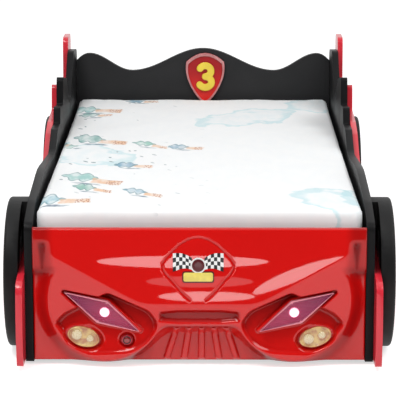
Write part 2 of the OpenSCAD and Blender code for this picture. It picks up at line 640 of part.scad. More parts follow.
// Angle brackets in the four corners, with their bolts
module bracket_corner() {
    for (s = [-1, 1]) on_side(s) {
        translate([side_x, foot_y + foot_t, 0]) children();
        translate([side_x, head_y, 0]) mirror([0, 1, 0]) children();
    }
}
module corner_brackets() color("#a8abb0") bracket_corner() difference() {
    union() {
        translate([-bracket_w, fit, bracket_low]) cube([bracket_w - fit, bracket_t, bracket_h]);
        translate([-bracket_t - fit, fit, bracket_low]) cube([bracket_t, bracket_w, bracket_h]);
    }
    for (z = bracket_z) {
        along(-1, bracket_t + 2, -bracket_w / 2, z, bracket_bolt_d + 2 * hole_gap);
        across(-bracket_t - 2, 1, bracket_w / 2, z, bracket_bolt_d + 2 * hole_gap);
    }
}
bolt_head_h = 4;
module bracket_bolts() color("#8d9094") bracket_corner() for (z = bracket_z) {
    along(-foot_t * 0.7, bracket_t + 2 * fit, -bracket_w / 2, z, bracket_bolt_d);
    along(bracket_t + 2 * fit, bracket_t + bolt_head_h, -bracket_w / 2, z, 2 * bracket_bolt_d);
    across(-bracket_t - 2 * fit, side_t * 0.7, bracket_w / 2, z, bracket_bolt_d);
    across(-bracket_t - bolt_head_h, -bracket_t - 2 * fit, bracket_w / 2, z, 2 * bracket_bolt_d);
}
module board_screws() color("#8d9094") for (s = [-1, 1], y = board_screw_y) on_side(s) {
    across(side_x, red_x + red_t * 0.65, y, board_screw_z, screw_d);
    across(side_x - 2.5, side_x, y, board_screw_z, 2 * screw_d);
}
module floor_glides() color("#4a4a4d") for (s = [-1, 1], y = glide_y)
    translate([s * (side_x + side_t / 2), y, 0]) cylinder(h = board_lift, d = side_t - 4);

// Mattress: a padded block with crowned top, drawn-in sides and rounded edges and corners
pad_half = [mattress_w / 2, mattress_l / 2];
pad_low = slat_top + fit;
pad_high = mattress_top - mattress_crown;
pad_quarter = 14;
pad_ring = 4 * pad_quarter;
// Levels of the wall, each with how far it stands in
pad_levels = concat(
    [for (a = [0:22.5:90]) [pad_low + mattress_edge * (1 - cos(a)), mattress_edge * (1 - sin(a))]],
    [[(pad_low + pad_high) / 2, 0]],
    [for (a = [0:22.5:90]) [pad_high - mattress_edge * (1 - sin(a)), mattress_edge * (1 - cos(a))]]);
// Shares of the ring at which the crown is stepped
pad_shares = [0.93, 0.8, 0.55, 0.25];
// Point i of the plan outline: each quarter runs along half a side, round the corner and on
function pad_plan(i, inset) = let (
    q = floor(i / pad_quarter), k = i % pad_quarter,
    w = pad_half.x - inset, l = pad_half.y - inset, r = max(6, mattress_corner - inset),
    local = k < 4 ? [w, (l - r) * (0.12 + 0.29 * k)] : k < 10 ? let (a = (k - 4) * 18)
        [w - r + r * cos(a), l - r + r * sin(a)] : [(w - r) * (0.98 - 0.28 * (k - 10)), l])
    q == 0 ? local : q == 1 ? [-pad_mirror(k, w, l, r).x, pad_mirror(k, w, l, r).y] :
    q == 2 ? -local : [pad_mirror(k, w, l, r).x, -pad_mirror(k, w, l, r).y];
function pad_mirror(k, w, l, r) = let (m = pad_quarter - 1 - k)
    m < 4 ? [w, (l - r) * (0.12 + 0.29 * m)] : m < 10 ? let (a = (m - 4) * 18)
        [w - r + r * cos(a), l - r + r * sin(a)] : [(w - r) * (0.98 - 0.28 * (m - 10)), l];
function draw_in(p, t) = [
    p.x - sign(p.x) * mattress_draw * t * (1 - pow(abs(p.y) / pad_half.y, 2)),
    p.y - sign(p.y) * mattress_draw * t * (1 - pow(abs(p.x) / pad_half.x, 2))];
pad_points = concat(
    [for (l = pad_levels, i = [0:pad_ring - 1]) let (
        t = 1 - 0.5 * abs(2 * (l[0] - pad_low) / (pad_high - pad_low) - 1),
        p = draw_in(pad_plan(i, l[1]), t))
        [p.x, p.y, l[0]]],
    [for (s = pad_shares, i = [0:pad_ring - 1]) let (p = pad_plan(i, mattress_edge))
        [p.x * s, p.y * s, pad_high + mattress_crown * (1 - pow(s, 4))]],
    [[0, 0, pad_low], [0, 0, mattress_top]]);
module mattress() color("#f4f6f6") {
    rings = len(pad_levels) + len(pad_shares);
    bottom = len(pad_points) - 2;
    last = (rings - 1) * pad_ring;
    translate([0, mattress_y + pad_half.y, 0]) polyhedron(pad_points, faces = concat(
        [for (j = [0:rings - 2], i = [0:pad_ring - 1])
            let (a = j * pad_ring + i, b = j * pad_ring + (i + 1) % pad_ring) each
            [[a, a + pad_ring, b], [b, a + pad_ring, b + pad_ring]]],
        [for (i = [0:pad_ring - 1]) [i, (i + 1) % pad_ring, bottom]],
        [for (i = [0:pad_ring - 1]) [last + (i + 1) % pad_ring, last + i, bottom + 1]]));
}

mattress();
side_board(-1);  // side_board_left
side_board(1);  // side_board_right
red_board(-1);  // red_board_left
red_board(1);  // red_board_right
headboard();
foot_panel();
front_moulding();
shield_plaque();
headlamp_base(-1);  // headlamp_base_left
headlamp_base(1);  // headlamp_base_right
headlamp_cover(-1);  // headlamp_cover_left
headlamp_cover(1);  // headlamp_cover_right
headlamp_led(-1);  // headlamp_led_left
headlamp_led(1);  // headlamp_led_right
fog_lamp(-1);  // fog_lamp_left
fog_lamp(1);  // fog_lamp_right
fog_reflectors(-1);  // fog_reflectors_left
fog_reflectors(1);  // fog_reflectors_right
switch_collar();
lamp_button();
tyre(-1, front_wheel);  // tyre_front_left
tyre(1, front_wheel);  // tyre_front_right
tyre(-1, rear_wheel);  // tyre_rear_left
tyre(1, rear_wheel);  // tyre_rear_right
rim(-1, front_wheel);  // rim_front_left
rim(1, front_wheel);  // rim_front_right
rim(-1, rear_wheel);  // rim_rear_left
rim(1, rear_wheel);  // rim_rear_right
hub_cap(-1, front_wheel);  // hub_cap_front_left
hub_cap(1, front_wheel);  // hub_cap_front_right
hub_cap(-1, rear_wheel);  // hub_cap_rear_left
hub_cap(1, rear_wheel);  // hub_cap_rear_right
wheel_bolts();
wheel_nuts();
ledger(-1);  // ledger_left
ledger(1);  // ledger_right
slat(1);  // slat_1
slat(2);  // slat_2
slat(3);  // slat_3
slat(4);  // slat_4
slat(5);  // slat_5
slat(6);  // slat_6
slat(7);  // slat_7
slat(8);  // slat_8
slat(9);  // slat_9
slat(10);  // slat_10
slat(11);  // slat_11
slat(12);  // slat_12
middle_beam();
beam_leg(leg_y[0]);  // beam_leg_front
beam_leg(leg_y[1]);  // beam_leg_rear
beam_hangers();
corner_brackets();
bracket_bolts();
board_screws();
floor_glides();
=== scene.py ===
import math

import bmesh
import bpy
import numpy as np
from mathutils import Matrix, Vector


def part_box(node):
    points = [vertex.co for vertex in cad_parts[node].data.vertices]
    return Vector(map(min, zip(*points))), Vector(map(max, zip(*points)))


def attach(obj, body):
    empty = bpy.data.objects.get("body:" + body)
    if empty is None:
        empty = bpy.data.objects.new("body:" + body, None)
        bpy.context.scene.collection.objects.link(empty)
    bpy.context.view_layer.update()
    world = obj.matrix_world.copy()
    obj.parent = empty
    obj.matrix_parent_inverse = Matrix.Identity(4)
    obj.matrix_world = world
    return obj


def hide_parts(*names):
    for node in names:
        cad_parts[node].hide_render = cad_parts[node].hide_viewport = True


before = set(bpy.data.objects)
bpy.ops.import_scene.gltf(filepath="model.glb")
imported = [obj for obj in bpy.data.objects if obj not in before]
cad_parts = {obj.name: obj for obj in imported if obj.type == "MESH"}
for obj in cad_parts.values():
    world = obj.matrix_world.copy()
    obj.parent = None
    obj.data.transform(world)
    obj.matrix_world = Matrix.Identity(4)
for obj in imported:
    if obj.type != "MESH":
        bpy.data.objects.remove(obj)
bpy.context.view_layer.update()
mm = 0.001
print("frame loaded,", len(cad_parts), "nodes")


# Sockets as numbers: an expression on these adds its Math nodes
class Wire:
    def __init__(self, socket):
        self.socket = socket
        self.tree = socket.id_data

    def math(self, operation, other=None, flip=False):
        pair = (other, self) if flip else (self, other)
        return addNode(self.tree, "ShaderNodeMath", {"operation": operation},
                       {key: value for key, value in enumerate(pair) if value is not None})

    def __add__(self, other): return self.math("ADD", other)
    def __radd__(self, other): return self.math("ADD", other)
    def __sub__(self, other): return self.math("SUBTRACT", other)
    def __rsub__(self, other): return self.math("SUBTRACT", other, flip=True)
    def __mul__(self, other): return self.math("MULTIPLY", other)
    def __rmul__(self, other): return self.math("MULTIPLY", other)
    def __truediv__(self, other): return self.math("DIVIDE", other)
    def __pow__(self, other): return self.math("POWER", other)
    def __lt__(self, other): return self.math("LESS_THAN", other)
    def __gt__(self, other): return self.math("GREATER_THAN", other)
    def __abs__(self): return self.math("ABSOLUTE")
    def sin(self): return self.math("SINE")
    def lower(self, other): return self.math("MINIMUM", other)
    def upper(self, other): return self.math("MAXIMUM", other)

    def step(self, low, high):  # smooth step from low to high, 0 to 1
        return addNode(self.tree, "ShaderNodeMapRange", {"interpolation_type": "SMOOTHSTEP"},
                       {"Value": self, "From Min": low, "From Max": high})


# Any node: its type, its settings and ramp stops, then the values or links of its sockets
def addNode(tree, kind, settings=None, sockets=None, output=0):
    node = tree.nodes.new(kind)
    for key, value in (settings or {}).items():
        if key == "stops":
            ramp = node.color_ramp
            while len(ramp.elements) < len(value):
                ramp.elements.new(0.5)
            for element, (place, colour) in zip(ramp.elements, value):
                element.position, element.color = place, (*colour, 1.0)
        else:
            setattr(node, key, value)
    for key, value in (sockets or {}).items():
        if isinstance(value, Wire):
            tree.links.new(value.socket, node.inputs[key])
        else:
            node.inputs[key].default_value = value
    return Wire(node.outputs[output]) if node.outputs else node


def paint(red, green, blue):  # screen colour 0 to 255 as a linear colour
    return tuple(c / 12.92 if c <= 0.04045 else ((c + 0.055) / 1.055) ** 2.4
                 for c in (red / 255, green / 255, blue / 255))


# One material: constant sockets by keyword, then nodes through add()
class Finish:
    def __init__(self, name, colour, roughness=0.5, **constants):
        self.material = bpy.data.materials.new(name)
        self.material.use_nodes = True
        self.tree = self.material.node_tree
        self.shader = self.tree.nodes["Principled BSDF"]
        self.shader.inputs["Base Color"].default_value = (*colour, 1.0)
        self.shader.inputs["Roughness"].default_value = roughness
        for key, value in constants.items():
            self.shader.inputs[key.replace("_", " ")].default_value = value
        self.colour, self.roughness = colour, roughness
        self.place = self.add("ShaderNodeTexCoord", output="Object")

    def add(self, kind, settings=None, sockets=None, output=0):
        return addNode(self.tree, kind, settings, sockets, output)

    def drive(self, socket, wire):
        self.tree.links.new(wire.socket, self.shader.inputs[socket])

    def vector(self, operation, *values):
        return self.add("ShaderNodeVectorMath", {"operation": operation}, dict(enumerate(values)))

    def scaled(self, factors):
        return self.vector("MULTIPLY", self.place, factors)

    def axis(self, letter, vector=None):
        return self.add("ShaderNodeSeparateXYZ", None, {0: vector or self.place}, letter)

    def noise(self, scale, detail=3.0, vector=None):
        return self.add("ShaderNodeTexNoise", None, {
            "Vector": vector or self.place, "Scale": scale, "Detail": detail, "Roughness": 0.5})

    def mix(self, factor, first, second):
        first, second = [(*c, 1.0) if isinstance(c, tuple) else c for c in (first, second)]
        return self.add("ShaderNodeMix", {"data_type": "RGBA"}, {0: factor, 6: first, 7: second}, 2)

    def bump(self, height, distance, strength=1.0):
        self.drive("Normal", self.add("ShaderNodeBump", None, {
            "Height": height, "Distance": distance, "Strength": strength}))

    # Slow colour drift and a fine change in sheen, as a real finish has
    def live(self, darker=0.9, scale=6.0, sheen=0.04, sheenScale=40.0):
        dark = tuple(c * darker for c in self.colour)
        self.drive("Base Color", self.mix(self.noise(scale).step(0.35, 0.65), dark, self.colour))
        self.drive("Roughness", self.noise(sheenScale) * sheen + (self.roughness - sheen / 2))
        return self


# Finishes of the painted and moulded pieces
mouldedRed = Finish("mouldedRed", (0.72, 0.0034, 0.0022), 0.4, Coat_Weight=1.0, Coat_Roughness=0.015,
                    Specular_IOR_Level=0.1)
# Painted shade: the 'shade' attribute from the relief mixes the moulded red toward this deep red and thins its coat,
# so the shaded parts show less reflection
paintedShadeRed = (0.24, 0.0006, 0.0006)
shade = mouldedRed.add("ShaderNodeAttribute", {"attribute_name": "shade"}, None, "Fac")
drift = mouldedRed.noise(3.0).step(0.35, 0.65) * 0.06
mouldedRed.drive("Base Color", mouldedRed.mix((shade + drift).lower(1.0), mouldedRed.colour, paintedShadeRed))
mouldedRed.drive("Roughness", mouldedRed.noise(9.0) * 0.05 + 0.38)
mouldedRed.drive("Coat Weight", 1.0 - shade * 0.65)
boardRed = Finish("boardRed", paint(222, 38, 56), 0.3, Coat_Weight=0.35, Coat_Roughness=0.12)
boardRed.live(0.94, 5.0, 0.06, 60.0)
boardBlack = Finish("boardBlack", paint(24, 24, 25), 0.42, Specular_IOR_Level=0.12).live(0.82, 8.0, 0.08, 90.0)
headBlack = Finish("headBlack", paint(50, 50, 51), 0.45, Specular_IOR_Level=0.1).live(0.9, 8.0, 0.06, 90.0)
enamelRed = Finish("enamelRed", paint(196, 18, 20), 0.3, Coat_Weight=0.25, Coat_Roughness=0.05,
                   Specular_IOR_Level=0.2)
enamelRed.live(0.75, 14.0, 0.04, 50.0)
shieldHigh = enamelRed.axis("Z") + enamelRed.noise(14.0) * 0.02
enamelRed.drive("Base Color", enamelRed.mix(shieldHigh.step(0.44, 0.56), paint(226, 34, 26), paint(168, 16, 22)))
# Pale pink of the shield's raised rim: a painted highlight
enamelRim = Finish("enamelRim", paint(206, 132, 132), 0.22, Coat_Weight=0.8, Coat_Roughness=0.08).live(0.8, 40.0)
figureYellow = Finish("figureYellow", paint(246, 216, 62), 0.35, Coat_Weight=0.4).live(0.93, 30.0)
tyreBlack = Finish("tyreBlack", paint(9, 9, 10), 0.55, Specular_IOR_Level=0.3).live(0.8, 20.0, 0.1, 120.0)
rimSilver = Finish("rimSilver", paint(176, 179, 184), 0.32, Metallic=0.85).live(0.9, 25.0, 0.08, 150.0)
hubSilver = Finish("hubSilver", paint(204, 206, 210), 0.22, Metallic=0.9).live(0.92, 40.0, 0.06, 200.0)
zincSteel = Finish("zincSteel", paint(190, 192, 196), 0.35, Metallic=1.0).live(0.85, 60.0, 0.12, 300.0)
legBlack = Finish("legBlack", paint(40, 40, 42), 0.45, Coat_Weight=0.2)
legBlack.bump(legBlack.noise(900.0), 0.0002)
glideFelt = Finish("glideFelt", paint(70, 70, 74), 0.9)
glideFelt.bump(glideFelt.noise(1500.0), 0.0004)
plateYellow = Finish("plateYellow", paint(246, 226, 110), 0.3, Coat_Weight=0.2).live(0.9, 60.0)
flagWhite = Finish("flagWhite", paint(240, 240, 238), 0.3, Coat_Weight=0.3).live(0.95, 60.0)
# Black of the pennants' chequer print, also the painted shade in the switch collar's well
flagBlack = Finish("flagBlack", paint(14, 14, 18), 0.4, Coat_Weight=0.1).live(0.8, 60.0)
badgeRed = Finish("badgeRed", paint(92, 12, 24), 0.3, Coat_Weight=0.2).live(0.85, 60.0)
collarRed = Finish("collarRed", paint(206, 44, 66), 0.2, Coat_Weight=0.8).live(0.85, 80.0)
buttonRed = Finish("buttonRed", paint(150, 8, 14), 0.14, Coat_Weight=1.0).live(0.85, 80.0)


# Planed pine: long grain along X for the slats and along Y for the beams
def pineFinish(name, along):
    pine = Finish(name, paint(222, 190, 144), 0.6)
    stretch = (1.5, 40.0, 40.0) if along == "x" else (40.0, 1.5, 40.0)
    grain = pine.noise(2.2, 6.0, pine.scaled(stretch))
    fibre = pine.noise(14.0, 3.0, pine.scaled(stretch))
    knots = pine.noise(5.0, 2.0).step(0.70, 0.78)
    light = pine.mix(grain.step(0.42, 0.62), paint(232, 204, 160), paint(203, 162, 108))
    pine.drive("Base Color", pine.mix(knots * 0.6, light, paint(140, 92, 52)))
    pine.drive("Roughness", fibre * 0.2 + 0.5)
    pine.bump(fibre, 0.0003)
    return pine


pineAcross = pineFinish("pineAcross", "x")
pineAlong = pineFinish("pineAlong", "y")

# Lamp finishes
lampPlate = Finish("lampPlate", paint(104, 34, 84), 0.3)
outward = abs(lampPlate.axis("X"))
plateNoise = lampPlate.noise(18.0, 4.0) * 0.08
lampPlate.drive("Base Color", lampPlate.mix((outward + plateNoise).step(0.2, 0.38), paint(214, 62, 86),
                                            paint(158, 46, 74)))
lampPlate.bump((lampPlate.axis("Z") * 1400.0).sin(), 0.0004)  # fine ribs across the plate
clearPink = Finish("clearPink", paint(206, 104, 158), 0.06, Alpha=0.14, Specular_IOR_Level=0.3)
# Pale pink for the covers' edges and their bead, a painted highlight of the clear edge, and for the pins
rimPink = Finish("rimPink", paint(246, 158, 174), 0.2, Alpha=0.9, Coat_Weight=1.0, Coat_Roughness=0.03)
rimPink.live(0.85, 60.0)
clearPink.drive("Roughness", clearPink.noise(90.0) * 0.05 + 0.04)
discLow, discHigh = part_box("headlamp_led_left")
discAt, discRadius = (discLow + discHigh) / 2, (discHigh.z - discLow.z) / 2
litDisc = Finish("litDisc", paint(250, 250, 250), 0.3, Emission_Strength=3.0)
discGrain = litDisc.noise(260.0)
# The disc glows white in its middle and fades to pink at the rim
discX, discZ = litDisc.axis("X"), litDisc.axis("Z")
spread = (abs(abs(discX) - abs(discAt.x)) ** 2.0 + abs(discZ - discAt.z) ** 2.0) ** 0.5 * (1 / discRadius)
glowWhite = litDisc.mix(discGrain, paint(236, 240, 248), paint(255, 255, 255))
litDisc.drive("Emission Color", litDisc.mix(spread.step(0.55, 0.95), glowWhite, paint(150, 60, 90)))
fogYellow = Finish("fogYellow", paint(214, 184, 140), 0.25, Coat_Weight=0.5, Coat_Roughness=0.06)
fogCloud = fogYellow.noise(45.0, 4.0)
fogYellow.drive("Base Color", fogYellow.mix(fogCloud.step(0.38, 0.64), paint(198, 142, 104), paint(234, 206, 140)))
reflectorCream = Finish("reflectorCream", paint(244, 232, 192), 0.15, Coat_Weight=1.0)
facets = reflectorCream.add("ShaderNodeTexVoronoi", None, {"Vector": reflectorCream.place, "Scale": 420.0})
reflectorCream.drive("Base Color", reflectorCream.mix(facets, paint(250, 244, 214), paint(214, 190, 130)))
reflectorCream.bump(facets, 0.0006)
print("finishes ready")


# Building helpers
def camel(name):
    head, *tail = name.split("_")
    return head + "".join(word.capitalize() for word in tail)


def placed(name, data):
    thing = bpy.data.objects.new(name, data)
    bpy.context.collection.objects.link(thing)
    return thing


def meshPiece(name, points, faces, finishes, body="bed", sharp=40.0):
    mesh = bpy.data.meshes.new(name)
    mesh.from_pydata([tuple(p) for p in points], [], faces)
    mesh.update()
    mesh.shade_smooth()
    mesh.set_sharp_from_angle(angle=math.radians(sharp))
    for finish in finishes:
        mesh.materials.append(finish.material)
    piece = placed(name, mesh)
    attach(piece, body)
    return piece


def settle(piece):  # modifiers become mesh
    evaluated = piece.evaluated_get(bpy.context.evaluated_depsgraph_get())
    mesh = bpy.data.meshes.new_from_object(evaluated)
    piece.modifiers.clear()
    piece.data = mesh
    return piece


def bevelled(node, finish, width, segments=3, angle=35.0, body="bed"):
    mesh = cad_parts[node].data.copy()
    cleaner = bmesh.new()
    cleaner.from_mesh(mesh)
    bmesh.ops.remove_doubles(cleaner, verts=cleaner.verts, dist=0.00001)
    bmesh.ops.dissolve_limit(cleaner, angle_limit=math.radians(0.6), verts=cleaner.verts, edges=cleaner.edges)
    cleaner.to_mesh(mesh)
    cleaner.free()
    mesh.materials.clear()
    mesh.materials.append(finish.material)
    mesh.shade_smooth()
    piece = placed(camel(node), mesh)
    edge = piece.modifiers.new("edge", "BEVEL")
    edge.width, edge.segments, edge.limit_method = width, segments, "ANGLE"
    edge.angle_limit = math.radians(angle)
    edge.harden_normals = True
    edge.use_clamp_overlap = True
    settle(piece)
    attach(piece, body)
    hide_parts(node)
    return piece


def gridFaces(columns, rows, closed=False):
    last = columns if closed else columns - 1
    return [(j * columns + i, j * columns + (i + 1) % columns,
             (j + 1) * columns + (i + 1) % columns, (j + 1) * columns + i)
            for j in range(rows - 1) for i in range(last)]


# A turned form: profile of (radius, height) about an axis through place
def turned(name, place, axis, profile, finishes, count=48, stretch=(1.0, 1.0), roll=0.0):
    spin = Vector(axis).to_track_quat("Z", "Y").to_matrix() @ Matrix.Rotation(roll, 3, "Z")
    points = []
    for radius, height in profile:
        for k in range(count):
            a = 2 * math.pi * k / count
            points.append(Vector(place) + spin @ Vector((
                radius * stretch[0] * math.cos(a), radius * stretch[1] * math.sin(a), height)))
    faces = gridFaces(count, len(profile), closed=True)
    faces.append(tuple(range(count))[::-1])
    faces.append(tuple(range((len(profile) - 1) * count, len(profile) * count)))
    return meshPiece(name, points, faces, finishes)


# A straight foot and a round crown, as shares of the height
def domeProfile(radius, height, foot, crown, stepTurn):
    return [(radius, 0), (radius, height * foot)] + [
        (radius * math.cos(a), height * (foot + crown * math.sin(a)))
        for a in np.radians(np.arange(stepTurn, 90, stepTurn))]


# Moulded front: a height field over x and z, the same form as the CAD shell with a fine grid
front = {
    "roll": 6 * mm, "rollBack": 10 * mm,
    "crestRise": 42 * mm, "topRise": 6 * mm, "hoodBend": 0.85, "browSoft": 1.2 * mm,
    "recessDeep": 30 * mm, "recessLow": 6 * mm, "slotDeep": 11 * mm, "fluteDeep": 11 * mm,
    "beadCount": 5, "beadPitch": 33.5 * mm, "beadSpread": 0.42, "beadWidth": 19 * mm, "beadRise": 10 * mm,
    "beadShift": 6 * mm, "archDraft": 0.67,
    "grooveWidth": 3.0 * mm, "grooveDeep": 2.4 * mm,
    "seatMargin": 3 * mm, "seatFall": 5 * mm, "fogFall": 8 * mm, "switchFall": 7 * mm,
    # Strengths of the painted shade on the moulded front
    "slopeShade": 1.5, "cornerShade": 0.55, "bendShade": 0.3, "slotShade": 0.35,
    "columns": 420, "rows": 176,
}
shellLow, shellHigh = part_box("front_moulding")
halfWidth, lowEdge, topEdge = shellHigh.x, shellLow.z, shellHigh.z
frontPlane = shellHigh.y - front["rollBack"]
lensLevel, lensMiddle, lensSweep = 21 * mm, 264 * mm, 0.095
fogLevel = 12 * mm
switchLevel = 19 * mm
lensPoints = [(-368 * mm, 210 * mm), (-249 * mm, 188 * mm), (-162 * mm, 105 * mm), (-278.5 * mm, 126.5 * mm)]
fogAt = (-(halfWidth - 138 * mm), lowEdge + 71.6 * mm)
fogTilt = math.radians(-17.0)
fogSize = (45 * mm, 27 * mm)
switchAt = (-(halfWidth - 257 * mm), lowEdge + 65 * mm)
switchRadius = 14 * mm


def clamp01(t):
    return np.clip(t, 0.0, 1.0)


def smooth(low, high, t):
    s = clamp01((t - low) / (high - low))
    return s * s * (3 - 2 * s)


def blendTo(first, second, t):
    return first * (1 - t) + second * t


def roundMax(a, b, k):
    h = clamp01(0.5 + 0.5 * (a - b) / k)
    return blendTo(b, a, h) + k * h * (1 - h)


def roundMin(a, b, k):
    return -roundMax(-a, -b, k)


def oval(x, z, centre, size):
    return (1 - np.hypot((x - centre[0]) / size[0], (z - centre[1]) / size[1])) * min(size)


def browLine(a):
    soft = 12 * mm
    return lowEdge + 163 * mm + 0.55 * soft * np.log1p(np.exp((a - 158 * mm) / soft))


archTop = lowEdge + 99 * mm
slotMiddle = lowEdge + 135 * mm
fluteTop, fluteLow = topEdge - 40 * mm, topEdge - 120 * mm


# The hood is one sheet that leans back; the face below the brow sweeps back to the sides with it
def hoodRelief(z):
    t = np.maximum(0, (topEdge - z) / (topEdge - browLine(0)))
    return front["topRise"] + (front["crestRise"] - front["topRise"]) * t ** front["hoodBend"]


def faceMask(a, z):
    eyeMiddle = halfWidth - 190 * mm
    eye = np.where(a > eyeMiddle, oval(a, z, (eyeMiddle, lowEdge + 172 * mm), (163 * mm, 172 * mm)),
                   oval(a, z, (eyeMiddle, lowEdge + 172 * mm), (178 * mm, 172 * mm)))
    soft = 14 * mm + 8 * mm * smooth(eyeMiddle, eyeMiddle + 80 * mm, a)
    upper = z - (topEdge - 118 * mm)
    middle = np.minimum((z - archTop) * front["archDraft"], halfWidth - 155 * mm - a)
    return smooth(-soft - 2 * mm, soft - 2 * mm, roundMax(roundMax(eye, upper, 20 * mm), middle, 24 * mm))


# Distance inside a polygon whose corners are rounded
def insideOf(x, z, corners, soft):
    near = None
    for (ax, az), (bx, bz) in zip(corners, corners[1:] + corners[:1]):
        gap = ((x - ax) * (bz - az) - (z - az) * (bx - ax)) / math.hypot(bx - ax, bz - az)
        near = gap if near is None else roundMin(near, gap, soft)
    return near


# Corners of the recess round a headlamp, in millimetres
recessPoints = [(250, 208), (372, 147), (391, 122), (350, 64), (304, 40), (255, 40), (188, 48), (146, 68),
                (122, 98), (116, 130), (138, 160)]


def recessMask(a, z):
    return smooth(-6, 8, insideOf(a / mm, z / mm, recessPoints, 8))


def slotMask(a, z):
    taper = 15 * mm - 5 * mm * clamp01((a - 60 * mm) / (50 * mm))
    return smooth(-7 * mm, 8 * mm, roundMin(taper - np.abs(z - slotMiddle), 107 * mm - a, 8 * mm))


def fluteMask(a, z):
    width = 5 * mm + 11 * mm * clamp01((z - fluteLow) / (fluteTop - fluteLow))
    cap = smooth(0, 1, (fluteTop + 8 * mm - z) / (22 * mm)) * smooth(0, 1, (z - fluteLow + 8 * mm) / (20 * mm))
    across = clamp01(1 - np.abs(a - (halfWidth - 27 * mm)) / width)
    lean = 0.15 + 0.75 * clamp01((z - fluteLow) / (fluteTop - fluteLow))
    return lean * cap * across * across * (3 - 2 * across)


def beadHeight(x, z):
    pitch = front["beadPitch"] * (1 + front["beadSpread"] * clamp01((archTop - z) / (90 * mm)))
    x = x - front["beadShift"]
    number = np.round(x / pitch)
    d = np.abs(x - number * pitch) / (front["beadWidth"] / 2)
    ends = clamp01((z - lowEdge - 4 * mm) / (6 * mm)) * clamp01((archTop + 3 * mm - z) / (9 * mm))
    there = (np.abs(number) <= (front["beadCount"] - 1) / 2) & (d < 1)
    return np.where(there, np.sqrt(np.maximum(0, 1 - d * d)) * np.sqrt(ends), 0)


# The groove on the hood follows these corners, each side of its middle, from top to bottom
grooveMiddle = -3.5 * mm
grooveHalf = [(0, 359.5), (26, 354.5), (52, 339), (75, 317), (89, 302.5), (97, 290), (96, 276), (88, 262),
              (72.5, 246), (52.5, 222), (36, 204.5), (26, 195.5), (22, 192)]


def hoodGroove(x, z):
    a, near = np.abs(x - grooveMiddle), None
    for (ax, az), (bx, bz) in zip(grooveHalf, grooveHalf[1:]):
        dx, dz = (bx - ax) * mm, (bz - az) * mm
        t = clamp01(((a - ax * mm) * dx + (z - az * mm) * dz) / (dx * dx + dz * dz))
        gap = np.hypot(a - ax * mm - t * dx, z - az * mm - t * dz)
        near = gap if near is None else roundMin(near, gap, 2 * mm)
    return np.exp(-((near / (front["grooveWidth"] * 0.6)) ** 2))


def lensNear(x, z, margin):
    near = insideOf(x, z, lensPoints, 5 * mm)
    # Blunt ends: the seat stops a little beyond the lamp's two tips
    (ax, az), _, (bx, bz), _ = lensPoints
    length = math.hypot(bx - ax, bz - az)
    along = ((x - (ax + bx) / 2) * (bx - ax) + (z - (az + bz) / 2) * (bz - az)) / length
    return roundMin(near, length / 2 - np.abs(along), 4 * mm) + margin


# The outer corners beside the hood, above a level
def cornerMask(a, z, level):
    return smooth(halfWidth - 62 * mm, halfWidth - 30 * mm, a) * smooth(-15 * mm, 10 * mm, z - level)


def faceRelief(x, z):
    a = np.abs(x)
    mask = faceMask(a, z)
    swept = hoodRelief(browLine(a))
    body = roundMin(hoodRelief(z), swept, front["browSoft"]) * mask
    # The outer corners stay flat beside the hood and run down into the plain corners
    plain = roundMin(hoodRelief(z), 13 * mm, 2 * mm)
    body = blendTo(body, plain, cornerMask(a, z, topEdge - 116 * mm))
    deep = blendTo(front["recessLow"], front["recessDeep"], clamp01((z - 44 * mm) / (150 * mm)))
    body = body - deep * recessMask(a, z) * mask - front["slotDeep"] * slotMask(a, z)
    body = body - front["fluteDeep"] * fluteMask(a, z) - front["grooveDeep"] * hoodGroove(x, z)
    return body + front["beadRise"] * beadHeight(x, z)


def rise(x, z):
    x, z = np.asarray(x, float), np.asarray(z, float)
    margin, mirrored = front["seatMargin"], -np.abs(x)
    level = faceRelief(x, z)
    seat = lensLevel - lensSweep * (-mirrored - lensMiddle)
    level = blendTo(level, seat, smooth(-front["seatFall"], 0, lensNear(mirrored, z, margin)))
    dx, dz = mirrored - fogAt[0], z - fogAt[1]
    turnedX = dx * math.cos(fogTilt) + dz * math.sin(fogTilt)
    turnedZ = -dx * math.sin(fogTilt) + dz * math.cos(fogTilt)
    near = oval(turnedX, turnedZ, (0, 0), (fogSize[0] + margin, fogSize[1] + margin))
    level = blendTo(level, fogLevel, smooth(-front["fogFall"], 0, near))
    near = switchRadius + margin - np.hypot(x - switchAt[0], z - switchAt[1])
    level = blendTo(level, switchLevel, smooth(-front["switchFall"], 0, near))
    rim = np.minimum(np.minimum(halfWidth - np.abs(x), topEdge - z), z - lowEdge)
    short = np.maximum(0, front["roll"] - rim)
    return level - (front["roll"] - np.sqrt(np.maximum(0, front["roll"] ** 2 - short ** 2)))


# Painted shade: how much the relief would shade itself, from the slopes that rise round each point, stored as the
# 'shade' attribute that darkens the moulded red
def paintedSelfShade(x, z):
    level, total = rise(x, z), 0
    for turn in np.radians(np.arange(0, 360, 45)):
        steepest = 0
        for far in (6 * mm, 14 * mm, 28 * mm, 50 * mm):
            px = np.clip(x + far * math.cos(turn), -halfWidth, halfWidth)
            pz = np.clip(z + far * math.sin(turn), lowEdge, topEdge)
            steepest = np.maximum(steepest, (rise(px, pz) - level) / far)
        total = total + steepest / np.sqrt(1 + steepest ** 2)
    a = np.abs(x)
    # Painted shade: the lit grille keeps most of its colour; the outer corners beside the hood are painted dark, and
    # the bends of the face and the slot get painted shade too
    grille = smooth(150 * mm, 110 * mm, a) * smooth(archTop + 6 * mm, archTop - 6 * mm, z)
    corner = cornerMask(a, z, fluteLow)
    bend = 4 * faceMask(a, z) * (1 - faceMask(a, z)) * (1 - grille)
    slopes = front["slopeShade"] * (total / 8 - 0.04) * (1 - 0.75 * grille)
    return clamp01(slopes + front["cornerShade"] * corner + front["bendShade"] * bend
                   + front["slotShade"] * slotMask(a, z))


